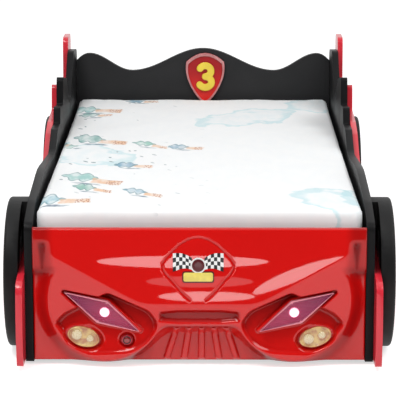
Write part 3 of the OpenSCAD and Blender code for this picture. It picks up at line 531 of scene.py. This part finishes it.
def makeFront():
    # Columns crowd over the beads, rows follow the brow so that its crest stays crisp
    share = np.linspace(-1, 1, front["columns"] + 1)
    columnX = halfWidth * (0.62 * share + 0.38 * share ** 3)
    edge = np.array([0.0, 0.35, 0.65, 0.85]) * front["roll"]
    columnX = np.unique(np.concatenate([columnX, halfWidth - edge, -halfWidth + edge]))
    count = front["rows"]
    lowRows, bandRows = int(count * 0.52), 14
    steps = np.arange(count + 1)
    brow = browLine(np.abs(columnX))[None, :]
    band = 24 * mm
    start, end = lowEdge + front["roll"], topEdge - front["roll"]
    k = (steps - lowRows)[:, None]
    z = np.where(k <= 0, blendTo(start, brow - band, (steps / lowRows)[:, None]), 0)
    z = np.where((k > 0) & (k <= bandRows), brow - band * (1 - k / bandRows), z)
    z = np.where(k > bandRows, blendTo(brow, end, (k - bandRows) / (count - lowRows - bandRows)), z)
    lowRim = np.repeat((lowEdge + edge)[:, None], len(columnX), 1)
    topRim = np.repeat((topEdge - edge[::-1])[:, None], len(columnX), 1)
    z = np.concatenate([lowRim, z, topRim])
    x = np.repeat(columnX[None, :], len(z), 0)
    y = frontPlane - rise(x, z)
    nr, nc = x.shape
    points = np.stack([x, y, z], -1).reshape(-1, 3)
    faces = gridFaces(nc, nr)
    # The rim runs back to the foot panel, and a plain back closes the shell
    ring = ([(0, i) for i in range(nc)] + [(j, nc - 1) for j in range(1, nr)]
            + [(nr - 1, i) for i in range(nc - 2, -1, -1)] + [(j, 0) for j in range(nr - 2, 0, -1)])
    back = [(x[j, i], shellHigh.y, z[j, i]) for j, i in ring]
    first = len(points)
    size = len(ring)
    index = [j * nc + i for j, i in ring]
    faces += [(index[(k + 1) % size], index[k], first + k, first + (k + 1) % size) for k in range(size)]
    faces.append(tuple(first + k for k in range(size))[::-1])
    shell = meshPiece("frontShell", np.concatenate([points, back]), faces, [mouldedRed], sharp=70.0)
    # Painted shade of the relief, stored on the shell's points as the 'shade' attribute
    dark = shell.data.attributes.new("shade", "FLOAT", "POINT")
    dark.data.foreach_set("value", np.concatenate([paintedSelfShade(x, z).reshape(-1), np.zeros(size)]).astype(np.float32))
    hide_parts("front_moulding")


makeFront()
print("moulded front ready")


# Boards with rounded edges
boards = {"edge": 5.0 * mm, "thinEdge": 1.2 * mm, "segments": 4}
for side in ("left", "right"):
    bevelled("side_board_" + side, boardBlack, boards["edge"], boards["segments"])
    bevelled("red_board_" + side, boardRed, boards["edge"], boards["segments"])
bevelled("headboard", headBlack, boards["edge"], boards["segments"])
bevelled("foot_panel", boardBlack, boards["thinEdge"])
print("boards ready")


# Headlamps, fog lamps and the lamp switch
lamps = {"coverEdge": 2.4 * mm, "plateEdge": 0.6 * mm, "pin": 2.4 * mm, "pinInset": 0.82,
         "coverFront": 13.3 * mm, "discDepth": 4 * mm, "rimRadius": 2.2 * mm,
         "bigRadius": 14 * mm, "smallRadius": 10 * mm, "fogDepth": 8 * mm,
         "bowlSpot": 0.42, "collarWell": 11 * mm, "flatNormal": 0.97}
for side in ("left", "right"):
    bevelled("headlamp_base_" + side, lampPlate, lamps["plateEdge"], 2)
    cover = bevelled("headlamp_cover_" + side, clearPink, lamps["coverEdge"], 4)
    # The cover's edge faces take the pale pink too: painted highlight on the clear edge
    cover.data.materials.append(rimPink.material)
    for face in cover.data.polygons:
        face.material_index = int(abs(face.normal.y) < lamps["flatNormal"])
    sign = -1 if side == "left" else 1
    turn = math.atan(lensSweep)
    outwards = Vector((sign * math.sin(turn), -math.cos(turn), 0))
    lensLow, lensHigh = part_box("headlamp_led_" + side)
    centre = (lensLow + lensHigh) / 2
    radius = (lensHigh.z - lensLow.z) / 2
    depth = lamps["discDepth"]
    dome = domeProfile(radius, depth, 0.35, 0.65, 9)
    disc = turned("headlampLed" + side.capitalize(), centre - outwards * depth / 2, outwards, dome,
                  [litDisc])
    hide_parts("headlamp_led_" + side)
    # A thin pale pink bead runs round the cover's front edge: a painted highlight of the clear cover's edge
    corners = [Vector((-sign * x, frontPlane - lensLevel + lensSweep * (-x - lensMiddle) - lamps["coverFront"], z))
               for x, z in lensPoints]
    path = []
    for number in range(4):
        before, here, after = corners[number - 1], corners[number], corners[(number + 1) % 4]
        path += [here + (before - here).normalized() * 3 * mm, here.lerp((before + after) / 2, 0.012),
                 here + (after - here).normalized() * 3 * mm]
    centreOf = sum(corners, Vector()) / 4
    points = []
    for number, here in enumerate(path):
        inward = (centreOf - here).normalized()
        for a in np.radians(np.arange(0, 360, 45)):
            points.append(here + inward * lamps["rimRadius"] * (1 + math.cos(a))
                          + outwards * lamps["rimRadius"] * math.sin(a))
    last = (len(path) - 1) * 8
    rimFaces = gridFaces(8, len(path), closed=True)
    rimFaces += [(last + k, last + (k + 1) % 8, (k + 1) % 8, k) for k in range(8)]
    rimFaces = [f if sign < 0 else f[::-1] for f in rimFaces]
    meshPiece("headlampRim" + side.capitalize(), points, rimFaces, [rimPink])
    # Two clear pins hold the cover near its blunt corners
    middle = (np.array(lensPoints[0]) + np.array(lensPoints[2])) / 2
    for number in (1, 3):
        x, z = middle + (np.array(lensPoints[number]) - middle) * lamps["pinInset"]
        level = lensLevel - lensSweep * (-x - lensMiddle) + lamps["coverFront"]
        turned("headlampPin%s%d" % (side.capitalize(), number), (-sign * x, frontPlane - level, z), outwards,
               [(lamps["pin"], -0.5 * mm), (lamps["pin"], 0.3 * mm), (lamps["pin"] * 0.5, 1.0 * mm)],
               [rimPink], count=20)

for side, sign in (("left", 1), ("right", -1)):
    low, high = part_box("fog_lamp_" + side)
    centre = Vector(((low.x + high.x) / 2, high.y, (low.z + high.z) / 2))
    a, b, depth = fogSize[0], fogSize[1], lamps["fogDepth"]
    profile = [(1.0, 0), (1.0, 0.7), (0.985, 0.88), (0.955, 1.0), (0.915, 0.96), (0.885, 0.75), (0.85, 0.5),
               (0.6, 0.42), (0.3, 0.4), (0.05, 0.4)]
    body = turned("fogLamp" + side.capitalize(), centre, (0, -1, 0), [(r, h * depth) for r, h in profile],
                  [fogYellow], stretch=(a, b), roll=sign * fogTilt)
    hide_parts("fog_lamp_" + side)
    low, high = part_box("fog_reflectors_" + side)
    bowls = []
    for spot, radius in ((-lamps["bowlSpot"], lamps["bigRadius"]), (lamps["bowlSpot"], lamps["smallRadius"])):
        if sign < 0:
            radius = lamps["bigRadius"] + lamps["smallRadius"] - radius
        shift = Vector((math.cos(fogTilt) * spot * a * sign, 0, math.sin(fogTilt) * spot * a))
        seat = Vector((centre.x, high.y, centre.z)) + shift
        dome = domeProfile(radius, depth * 0.9, 0.45, 0.5, 10)
        bowls.append(turned("fogReflector" + side.capitalize() + str(len(bowls) + 1), seat, (0, -1, 0), dome,
                            [reflectorCream], count=32))
    for bowl in bowls:
        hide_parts("fog_reflectors_" + side)
# The collar's inner well is painted black: painted shade in the gap round the button
collar = bevelled("switch_collar", collarRed, 0.8 * mm, 3)
collar.data.materials.append(flagBlack.material)
for face in collar.data.polygons:
    if math.hypot(face.center.x - switchAt[0], face.center.z - switchAt[1]) < lamps["collarWell"]:
        face.material_index = 1
bevelled("lamp_button", buttonRed, 0.5 * mm, 2, body="button")
print("lamps ready")


# Shield on the headboard, with a chunky plain numeral
shield = {"edge": 1.6 * mm, "rimDeep": 1.7 * mm, "figureHigh": 104 * mm, "figureWide": 70 * mm, "stroke": 25 * mm,
          "figureDeep": 9 * mm, "figureMiddle": 510 * mm}
plaque = bevelled("shield_plaque", enamelRed, shield["edge"], 3)
plaque.data.materials.append(enamelRim.material)
plaqueLow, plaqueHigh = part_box("shield_plaque")
# The raised rim's front faces take the pale pink: painted highlight on the rim
for face in plaque.data.polygons:
    if face.center.y < plaqueLow.y + shield["rimDeep"]:
        face.material_index = 1


# A flat stroke along a path, with rounded ends, raised from y = place.y toward the viewer
def strokePiece(name, path, width, place, depth, finish):
    path = [Vector(p) for p in path]
    left, right = [], []
    for k, p in enumerate(path):
        ahead, behind = path[min(k + 1, len(path) - 1)], path[max(k - 1, 0)]
        along = (ahead - behind).normalized()
        side = Vector((-along.y, along.x)) * width / 2
        left.append(p + side)
        right.append(p - side)

    def halfRound(p, q):
        middle, arm = (p + q) / 2, (p - q) / 2
        return [middle + Matrix.Rotation(a, 2) @ arm for a in np.radians(np.arange(20, 180, 20))]

    cap, start = halfRound(right[-1], left[-1]), halfRound(left[0], right[0])
    outline = right + cap + left[::-1] + start
    count = len(outline)
    points = [(place.x + p.x, place.y, place.z + p.y) for p in outline]
    points += [(place.x + p.x, place.y - depth, place.z + p.y) for p in outline]
    n = len(path)
    faces = [(k, (k + 1) % count, count + (k + 1) % count, count + k)[::-1] for k in range(count)]
    # Quads between the stroke's two sides, fans at its rounded ends
    leftIndex = [n + len(cap) + (n - 1 - k) for k in range(n)]
    for level, flip in ((0, False), (count, True)):
        strip = [(k, k + 1, leftIndex[k + 1], leftIndex[k]) for k in range(n - 1)]
        strip.append(tuple([n - 1] + [n + k for k in range(len(cap))] + [leftIndex[n - 1]]))
        strip.append(tuple([leftIndex[0]] + [2 * n + len(cap) + k for k in range(len(start))] + [0]))
        faces += [tuple(level + v for v in (f[::-1] if flip else f)) for f in strip]
    piece = meshPiece(name, points, faces, [finish])
    edge = piece.modifiers.new("edge", "BEVEL")
    edge.width, edge.segments, edge.limit_method, edge.angle_limit = 2.6 * mm, 3, "ANGLE", math.radians(50)
    return settle(piece)


def arc(centre, radius, start, end, count, wide=1.0):
    return [(centre[0] + wide * radius * math.cos(math.radians(a)), centre[1] + radius * math.sin(math.radians(a)))
            for a in np.linspace(start, end, count)]


reach = shield["figureHigh"] / 2 - shield["stroke"] / 2
bow = reach / 2
wideBow = (shield["figureWide"] - shield["stroke"]) / 2 / bow
figureAt = Vector(((plaqueLow.x + plaqueHigh.x) / 2, plaqueLow.y + 4 * mm, shield["figureMiddle"]))
for number, path in enumerate((arc((0, bow), bow, 150, -88, 26, wideBow * 0.92),
                               arc((0, -bow), bow, 88, -150, 26, wideBow))):
    strokePiece("shieldFigure%d" % (number + 1), path, shield["stroke"], figureAt,
                shield["figureDeep"] + number * 0.3 * mm, figureYellow)


# Badge on the hood: roundel, two chequered pennants and a bare yellow bar, laid on the moulded surface
badge = {"middle": (-3 * mm, 286 * mm), "roundel": 17 * mm, "ring": 21 * mm, "lift": 0.7 * mm,
         "pennantLong": 52 * mm, "pennantHigh": 50 * mm, "cells": (6, 4),
         "barWide": 80 * mm, "barHigh": 24 * mm, "barDrop": 31 * mm}


def onHood(x, z, lift):
    return (float(x), float(frontPlane - rise(x, z) - lift), float(z))


def sticker(name, outline, lift, thick, finish):
    centre = np.mean(outline, 0)
    rings = [outline, outline, centre + (outline - centre) * 0.97, centre + (outline - centre) * 0.5]
    lifts = [0, lift + thick * 0.7, lift + thick, lift + thick]
    count = len(outline)
    points = [onHood(p[0], p[1], h) for ring, h in zip(rings, lifts) for p in ring]
    points.append(onHood(centre[0], centre[1], lift + thick))
    faces = [f[::-1] for f in gridFaces(count, len(rings), closed=True)]
    last = (len(rings) - 1) * count
    faces += [(last + (k + 1) % count, last + k, len(points) - 1) for k in range(count)]
    return meshPiece(name, points, faces, [finish])


def roundedBox(centre, wide, high, radius, count=7):
    corners = [(1, 1, 0), (-1, 1, 90), (-1, -1, 180), (1, -1, 270)]
    return np.array([(centre[0] + sx * (wide / 2 - radius) + radius * math.cos(math.radians(a)),
                      centre[1] + sy * (high / 2 - radius) + radius * math.sin(math.radians(a)))
                     for sx, sy, base in corners for a in np.linspace(base, base + 90, count)])


def makePennant(side):
    across, up = badge["cells"]
    fine = 3
    nx, nz = across * fine + 1, up * fine + 1
    points = []
    for j in range(nz):
        for i in range(nx):
            u, v = i / (nx - 1), j / (nz - 1) - 0.5
            x = badge["middle"][0] + side * (badge["ring"] * 0.8 + u * badge["pennantLong"])
            high = badge["pennantHigh"] * (0.62 + 0.38 * u)
            z = badge["middle"][1] + 4 * mm + v * high + 5 * mm * math.sin(u * 3.6) + u * 6 * mm
            points.append(onHood(x, z, badge["lift"]))
    faces = [f[::-1] if side < 0 else f for f in gridFaces(nx, nz)]
    pennant = meshPiece("badgePennant" + ("Left" if side < 0 else "Right"), points, faces,
                        [flagWhite, flagBlack])
    for k, face in enumerate(pennant.data.polygons):
        i, j = k % (nx - 1), k // (nx - 1)
        face.material_index = (i // fine + j // fine) % 2


makePennant(-1)
makePennant(1)
circle = np.array([(math.cos(a), math.sin(a)) for a in np.linspace(0, 2 * math.pi, 48, endpoint=False)])
sticker("badgeRing", badge["middle"] + circle * badge["ring"], badge["lift"], 0.5 * mm, flagWhite)
sticker("badgeRoundel", badge["middle"] + circle * badge["roundel"], badge["lift"] + 0.6 * mm, 0.4 * mm, badgeRed)
barAt = (badge["middle"][0], badge["middle"][1] - badge["barDrop"])
sticker("badgeBarEdge", roundedBox(barAt, badge["barWide"] + 7 * mm, badge["barHigh"] + 7 * mm, 7 * mm),
        badge["lift"] * 0.4, 0.4 * mm, badgeRed)
sticker("badgeBar", roundedBox(barAt, badge["barWide"], badge["barHigh"], 5 * mm), badge["lift"], 0.8 * mm,
        plateYellow)
print("shield and badge ready")


# Wheels, base and fixings keep their CAD forms, with softened edges
for corner in ("front_left", "front_right", "rear_left", "rear_right"):
    bevelled("tyre_" + corner, tyreBlack, 1.5 * mm, 2, 40)
    bevelled("rim_" + corner, rimSilver, 1.0 * mm, 2, 40)
    bevelled("hub_cap_" + corner, hubSilver, 0.8 * mm, 2, 40)
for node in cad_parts:
    if node.startswith("slat_"):
        bevelled(node, pineAcross, 2.0 * mm, 3)
for node in ("ledger_left", "ledger_right", "middle_beam"):
    bevelled(node, pineAlong, 2.0 * mm, 3)
for node, finish, slot, width in (
        ("beam_leg_front", legBlack, "leg_black", 1.2), ("beam_leg_rear", legBlack, "leg_black", 1.2),
        ("beam_hangers", zincSteel, "bracket_steel", 0.5),
        ("corner_brackets", zincSteel, "bracket_steel", 0.5),
        ("bracket_bolts", zincSteel, "bright_steel", 0.6), ("board_screws", zincSteel, "bright_steel", 0.4),
        ("wheel_bolts", zincSteel, "bright_steel", 0.6), ("wheel_nuts", zincSteel, "bright_steel", 0.6),
        ("floor_glides", glideFelt, "glide_plastic", 0.6)):
    bevelled(node, finish, width * mm, 2, 40)
print("wheels and base ready")


# Mattress cover: a washed print of leaves, brush strokes and dots on white cloth. The print is drawn
# long, so that it reads from the foot of the bed.
def printedCloth():
    cloth = Finish("printedCloth", paint(252, 253, 253), 0.85, Sheen_Weight=0.2, Sheen_Roughness=0.5)
    wobble = cloth.add("ShaderNodeTexNoise", None, {"Vector": cloth.place, "Scale": 11.0, "Detail": 5.0}, "Color")
    away = cloth.vector("SUBTRACT", wobble, (0.5, 0.5, 0.5))
    x, y, z = [cloth.axis(letter) for letter in "XYZ"]
    long = (y + z) * 0.36
    flat = cloth.add("ShaderNodeCombineXYZ", None, {"X": x, "Y": long, "Z": 0.0})

    # Each cell of a layer holds one motif: its own coordinates, its place and three random numbers
    def layer(scale, shake, loose=0.8, shift=0.0):
        where = cloth.vector("MULTIPLY_ADD", away, (shake, shake, 0.0), flat)
        where = cloth.vector("ADD", where, (shift, shift, 0.0))
        cell = {"Vector": where, "Scale": scale, "Randomness": loose}
        kind = {"voronoi_dimensions": "2D"}
        colour = cloth.add("ShaderNodeTexVoronoi", kind, cell, "Color")
        spot = cloth.add("ShaderNodeTexVoronoi", kind, cell, "Position")
        local = cloth.vector("SUBTRACT", where, spot)
        chances = [cloth.add("ShaderNodeSeparateColor", None, {0: colour}, k) for k in range(3)]
        return local, cloth.axis("X", spot) - shift, chances

    def rotated(local, angle):
        spun = cloth.add("ShaderNodeVectorRotate", {"rotation_type": "Z_AXIS"}, {"Vector": local, "Angle": angle})
        return [cloth.axis(letter, spun) for letter in "XY"]

    def blot(u, v, long, high, soft=0.12):  # filled oval with a soft rim, and its dark tide line
        reach = ((u / long) ** 2.0 + (v / high) ** 2.0) ** 0.5
        return 1.0 - reach.step(1.0 - soft, 1.0), reach.step(0.72, 0.97) * (1.0 - reach.step(0.98, 1.04))

    pigment = cloth.noise(34.0, 6.0, flat).step(0.32, 0.68)
    colour = cloth.mix(pigment, paint(252, 253, 253), paint(249, 251, 252))

    # Pale washes with a tide line
    for shift, left, right in ((3.3, -0.14, 0.2), (9.4, -0.6, 0.1)):
        local, side, chances = layer(1.9, 0.1, 0.7, shift)
        u, v = rotated(local, chances[0] * 0.8 - 0.4)
        wash, tide = [part * ((side < left) + (side > right)) for part in blot(u, v, 0.17, 0.055)]
        colour = cloth.mix(wash * (0.05 + pigment * 0.16), colour, paint(206, 234, 240))
        colour = cloth.mix(tide * 0.5, colour, paint(168, 218, 226))

    # Sprays: a lobed leaf, a speckled peach brush stroke and a dark slim stroke
    for scale, shift, density, far in ((4.6, 2.0, 1.0, -0.02), (7.0, 7.7, 0.9, -0.02)):
        local, side, chances = layer(scale, 0.02, 0.85, shift)
        there = (chances[1] < (1.0 - side.step(-0.32, far)) * density) * 1.0
        size = 4.3 / scale
        u, v = rotated(local, (chances[0] - 0.5) * 0.5)
        lobes = abs((u * (75.0 / size)).sin()) * 0.5 + 0.5
        leafU = u + 0.042 * size
        edge = abs(v) - lobes * (1.0 - (leafU / (0.062 * size)) ** 2.0).upper(0.0) * (0.030 * size)
        leaf = (1.0 - edge.step(-0.002, 0.001)) * (1.0 - (abs(leafU) > 0.062 * size)) * there
        hue = cloth.add("ShaderNodeValToRGB", {"stops": [
            (0.0, paint(66, 146, 150)), (0.3, paint(120, 190, 170)), (0.55, paint(150, 206, 214)),
            (0.8, paint(96, 160, 190)), (1.0, paint(60, 118, 140))]}, {0: chances[2]})
        colour = cloth.mix(leaf * (0.25 + pigment * 0.6), colour, hue)
        colour = cloth.mix(edge.step(-0.007, -0.001) * leaf * 0.7, colour, paint(50, 116, 128))
        bristle = cloth.noise(70.0, 2.0, cloth.scaled((0.2, 1.0, 1.0))) * 0.02
        strokeU, strokeV = u - 0.048 * size, v + 0.012 * size
        stroke = (1.0 - (abs(strokeU) + bristle).step(0.055 * size, 0.062 * size)) \
            * (1.0 - (abs(strokeV) + bristle * 0.3).step(0.014 * size, 0.018 * size)) * there * (chances[0] > 0.35)
        speckle = cloth.add("ShaderNodeTexVoronoi", {"voronoi_dimensions": "2D"}, {"Vector": flat, "Scale": 150.0})
        colour = cloth.mix(stroke * (0.35 + pigment * 0.5), colour, paint(238, 186, 138))
        colour = cloth.mix(stroke * (speckle < 0.3) * (strokeU > 0.0) * 0.9, colour, paint(172, 92, 56))
        slim, _ = blot(u + 0.01 * size, v + 0.034 * size, 0.055 * size, 0.006 * size, 0.4)
        colour = cloth.mix(slim * there * (0.4 + pigment * 0.5), colour, paint(44, 92, 124))

    # Small dots and short dashes
    local, side, chances = layer(24.0, 0.003)
    patch = cloth.noise(6.0, 1.0, flat).step(0.52, 0.60)
    u, v = rotated(local, chances[0] * 0.6)
    dot = 1.0 - ((u / (0.003 + chances[1] * 0.007)) ** 2.0 + (v / 0.0022) ** 2.0).step(0.8, 1.1)
    dot = dot * (chances[2] < 0.6) * (1.0 - side.step(-0.3, 0.12)) * patch
    colour = cloth.mix(dot * 0.8, colour, paint(52, 98, 112))
    cloth.drive("Base Color", colour)

    weave = (x * 2600.0).sin() * ((y + z) * 2600.0).sin()
    cloth.bump(weave * 0.15 + cloth.noise(7.0, 2.0) * 6.0, 0.0006, 0.6)
    return cloth


mattress = {"voxel": 8 * mm, "shrink": 1 * mm, "welt": 6 * mm, "cap": 5 * mm, "pressure": 4.0, "frames": 20,
            "dimple": 1.2 * mm, "swellUp": 6 * mm, "swellSide": 3 * mm, "swellFoot": 2 * mm, "swellHead": 4 * mm}


def inflate(piece, size):
    before = np.array([v.co[:] for v in piece.data.vertices])
    cloth = piece.modifiers.new("cloth", "CLOTH")
    cloth.settings.use_pressure = True
    cloth.settings.uniform_pressure_force = size["pressure"]
    cloth.settings.effector_weights.gravity = 0.0
    cloth.settings.quality = 4
    cloth.collision_settings.use_self_collision = False
    cloth.point_cache.frame_start, cloth.point_cache.frame_end = 1, size["frames"]
    scene = bpy.context.scene
    for number in range(1, size["frames"] + 1):
        scene.frame_set(number)
    evaluated = piece.evaluated_get(bpy.context.evaluated_depsgraph_get())
    after = np.array([v.co[:] for v in evaluated.data.vertices])
    piece.modifiers.clear()
    scene.frame_set(1)
    move = after - before
    length = np.linalg.norm(move, axis=1, keepdims=True)
    return before + move * np.minimum(1.0, size["cap"] / np.maximum(length, 1e-9))


def makeMattress():
    low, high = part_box("mattress")
    middle, half = (low + high) / 2, (high - low) / 2
    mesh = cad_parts["mattress"].data.copy()
    mesh.materials.clear()
    pad = placed("mattressPad", mesh)
    shrink = [1 - mattress["shrink"] / h for h in half]
    for vertex in mesh.vertices:
        for k in range(3):
            vertex.co[k] = middle[k] + (vertex.co[k] - middle[k]) * shrink[k]
    weld = pad.modifiers.new("weld", "WELD")
    weld.merge_threshold = 0.01 * mm
    remesh = pad.modifiers.new("remesh", "REMESH")
    remesh.mode, remesh.voxel_size = "VOXEL", mattress["voxel"]
    settle(pad)
    co = inflate(pad, mattress)
    # Soft dents of a quilted core, stronger near the edges, and a flat underside on the slats
    nx, ny = (co[:, 0] - middle.x) / half.x, (co[:, 1] - middle.y) / half.y
    edge = np.maximum(np.abs(nx), np.abs(ny)) ** 6
    ripple = np.sin(co[:, 0] * 23 + 1.3 * np.sin(co[:, 1] * 9)) * np.sin(co[:, 1] * 17 + 0.7)
    upper = smooth(middle.z, high.z, co[:, 2])
    co[:, 2] += (mattress["dimple"] * ripple + mattress["welt"] * edge ** 2) * upper
    side = mattress["swellSide"]
    co[:, 2] = np.clip(co[:, 2], low.z, high.z + mattress["swellUp"])
    co[:, 0] = np.clip(co[:, 0], low.x - side, high.x + side)
    co[:, 1] = np.clip(co[:, 1], low.y - mattress["swellFoot"], high.y + mattress["swellHead"])
    pad.data.vertices.foreach_set("co", co.reshape(-1))
    pad.data.update()
    pad.data.materials.clear()
    pad.data.materials.append(printedCloth().material)
    pad.data.shade_smooth()
    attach(pad, "bed")
    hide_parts("mattress")


makeMattress()
print("mattress ready")


# Floor, world, lamps and camera
studio = {"floorSize": 14.0, "floorGrey": 0.82, "floorLight": 0.62, "floorGlow": 0.85,
          "ambient": 0.5, "dark": 0.006, "hoodPoint": (-0.03, -0.95, 0.3), "stripBack": -7.5,
          "cameraAt": (0.0369, -6.5005, 1.6296), "pitch": 11.86, "yaw": 0.363, "focal": 189.1}


def emptied(owner):
    owner.use_nodes = True
    owner.node_tree.nodes.clear()
    return owner.node_tree


def lightRays(tree):
    return [addNode(tree, "ShaderNodeLightPath", None, None, name)
            for name in ("Is Camera Ray", "Is Glossy Ray", "Is Transmission Ray")]


def makeFloor():
    size = studio["floorSize"]
    mesh = bpy.data.meshes.new("floor")
    mesh.from_pydata([(-size, -size, 0), (size, -size, 0), (size, size, 0), (-size, size, 0)], [], [(0, 1, 2, 3)])
    material = bpy.data.materials.new("paleFloor")
    tree = emptied(material)
    lit = addNode(tree, "ShaderNodeBsdfDiffuse", None, {"Color": (*[studio["floorGrey"]] * 3, 1.0)})
    glow = addNode(tree, "ShaderNodeEmission", None, {"Color": (1.0,) * 4, "Strength": studio["floorLight"]})
    both = addNode(tree, "ShaderNodeAddShader", None, {0: lit, 1: glow})
    ray = lightRays(tree)
    seen = ray[0].upper(ray[1] * studio["floorGlow"]).upper(ray[2])
    mixed = addNode(tree, "ShaderNodeMixShader", None, {0: seen, 1: lit, 2: both})
    addNode(tree, "ShaderNodeOutputMaterial", None, {"Surface": mixed})
    mesh.materials.append(material)
    floor = placed("floor", mesh)


def makeWorld():
    world = bpy.data.worlds.new("studio")
    bpy.context.scene.world = world
    tree = emptied(world)
    place = addNode(tree, "ShaderNodeTexCoord", None, None, "Generated")
    ahead = addNode(tree, "ShaderNodeSeparateXYZ", None, {0: place}, "Y")
    up = addNode(tree, "ShaderNodeSeparateXYZ", None, {0: place}, "Z")
    ray = lightRays(tree)
    # The dark half of the room is above the horizon in front of the bed; the rest is the white backdrop
    darkHalf = (1.0 - ahead.step(-0.35, 0.05)) * up.step(-0.005, 0.02)
    backdrop = ray[0].upper(ray[2]).upper(ray[1] * (1.0 - darkHalf))
    level = backdrop + (1.0 - backdrop) * (ray[1] * studio["dark"] + (1.0 - ray[1]) * studio["ambient"])
    glow = addNode(tree, "ShaderNodeBackground", None, {"Color": (1.0, 1.0, 1.0, 1.0), "Strength": level})
    addNode(tree, "ShaderNodeOutputWorld", None, {"Surface": glow})


# A lamp's strength is the brightness of its face, where 1 is white
def makeLamp(name, place, aim, size, strength, shape="RECTANGLE", roll=0.0):
    light = bpy.data.lights.new(name, "AREA")
    light.shape, light.size, light.size_y = shape, size[0], size[1]
    area = size[0] * size[1] * (math.pi / 4 if shape == "ELLIPSE" else 1)
    light.energy = strength * math.pi * area
    lamp = placed(name, light)
    lamp.location = place
    turn = (Vector(aim) - Vector(place)).to_track_quat("-Z", "Y")
    lamp.rotation_euler = (turn.to_matrix() @ Matrix.Rotation(math.radians(roll), 3, "Z")).to_euler()


makeFloor()
makeWorld()
makeLamp("keyLamp", (-2.0, -3.2, 6.0), (0, 0, 0.3), (2.4, 2.4), 10.0)
makeLamp("fillLamp", (3.2, -2.2, 4.6), (0, 0, 0.3), (2.6, 2.6), 4.6)
# Plain soft strip lamps high behind the camera, which the glossy hood reflects as long pale bands
for lampName, lampX, lampZ, lampSize, strength, roll in (
        ("hoodStrip", -0.14, 0.915, (1.0, 0.19), 6.4, 0.0), ("faintStrip", -0.04, 0.65, (0.62, 0.13), 1.5, 0.0),
        ("browStrip", 0.0, 0.49, (0.56, 0.1), 6.4, 0.0), ("sideStrip", 0.55, 0.76, (0.74, 0.13), 6.4, 41.0)):
    makeLamp(lampName, (lampX, studio["stripBack"], lampZ), studio["hoodPoint"], lampSize, strength, "ELLIPSE", roll)
camera = placed("camera", bpy.data.cameras.new("camera"))
camera.data.lens, camera.data.sensor_width = studio["focal"], 36.0
camera.data.clip_end = 60.0
camera.location = studio["cameraAt"]
camera.rotation_euler = (math.radians(90 - studio["pitch"]), 0, math.radians(studio["yaw"]))
bpy.context.scene.camera = camera
bpy.context.scene.view_settings.view_transform = "Standard"
print("studio ready")
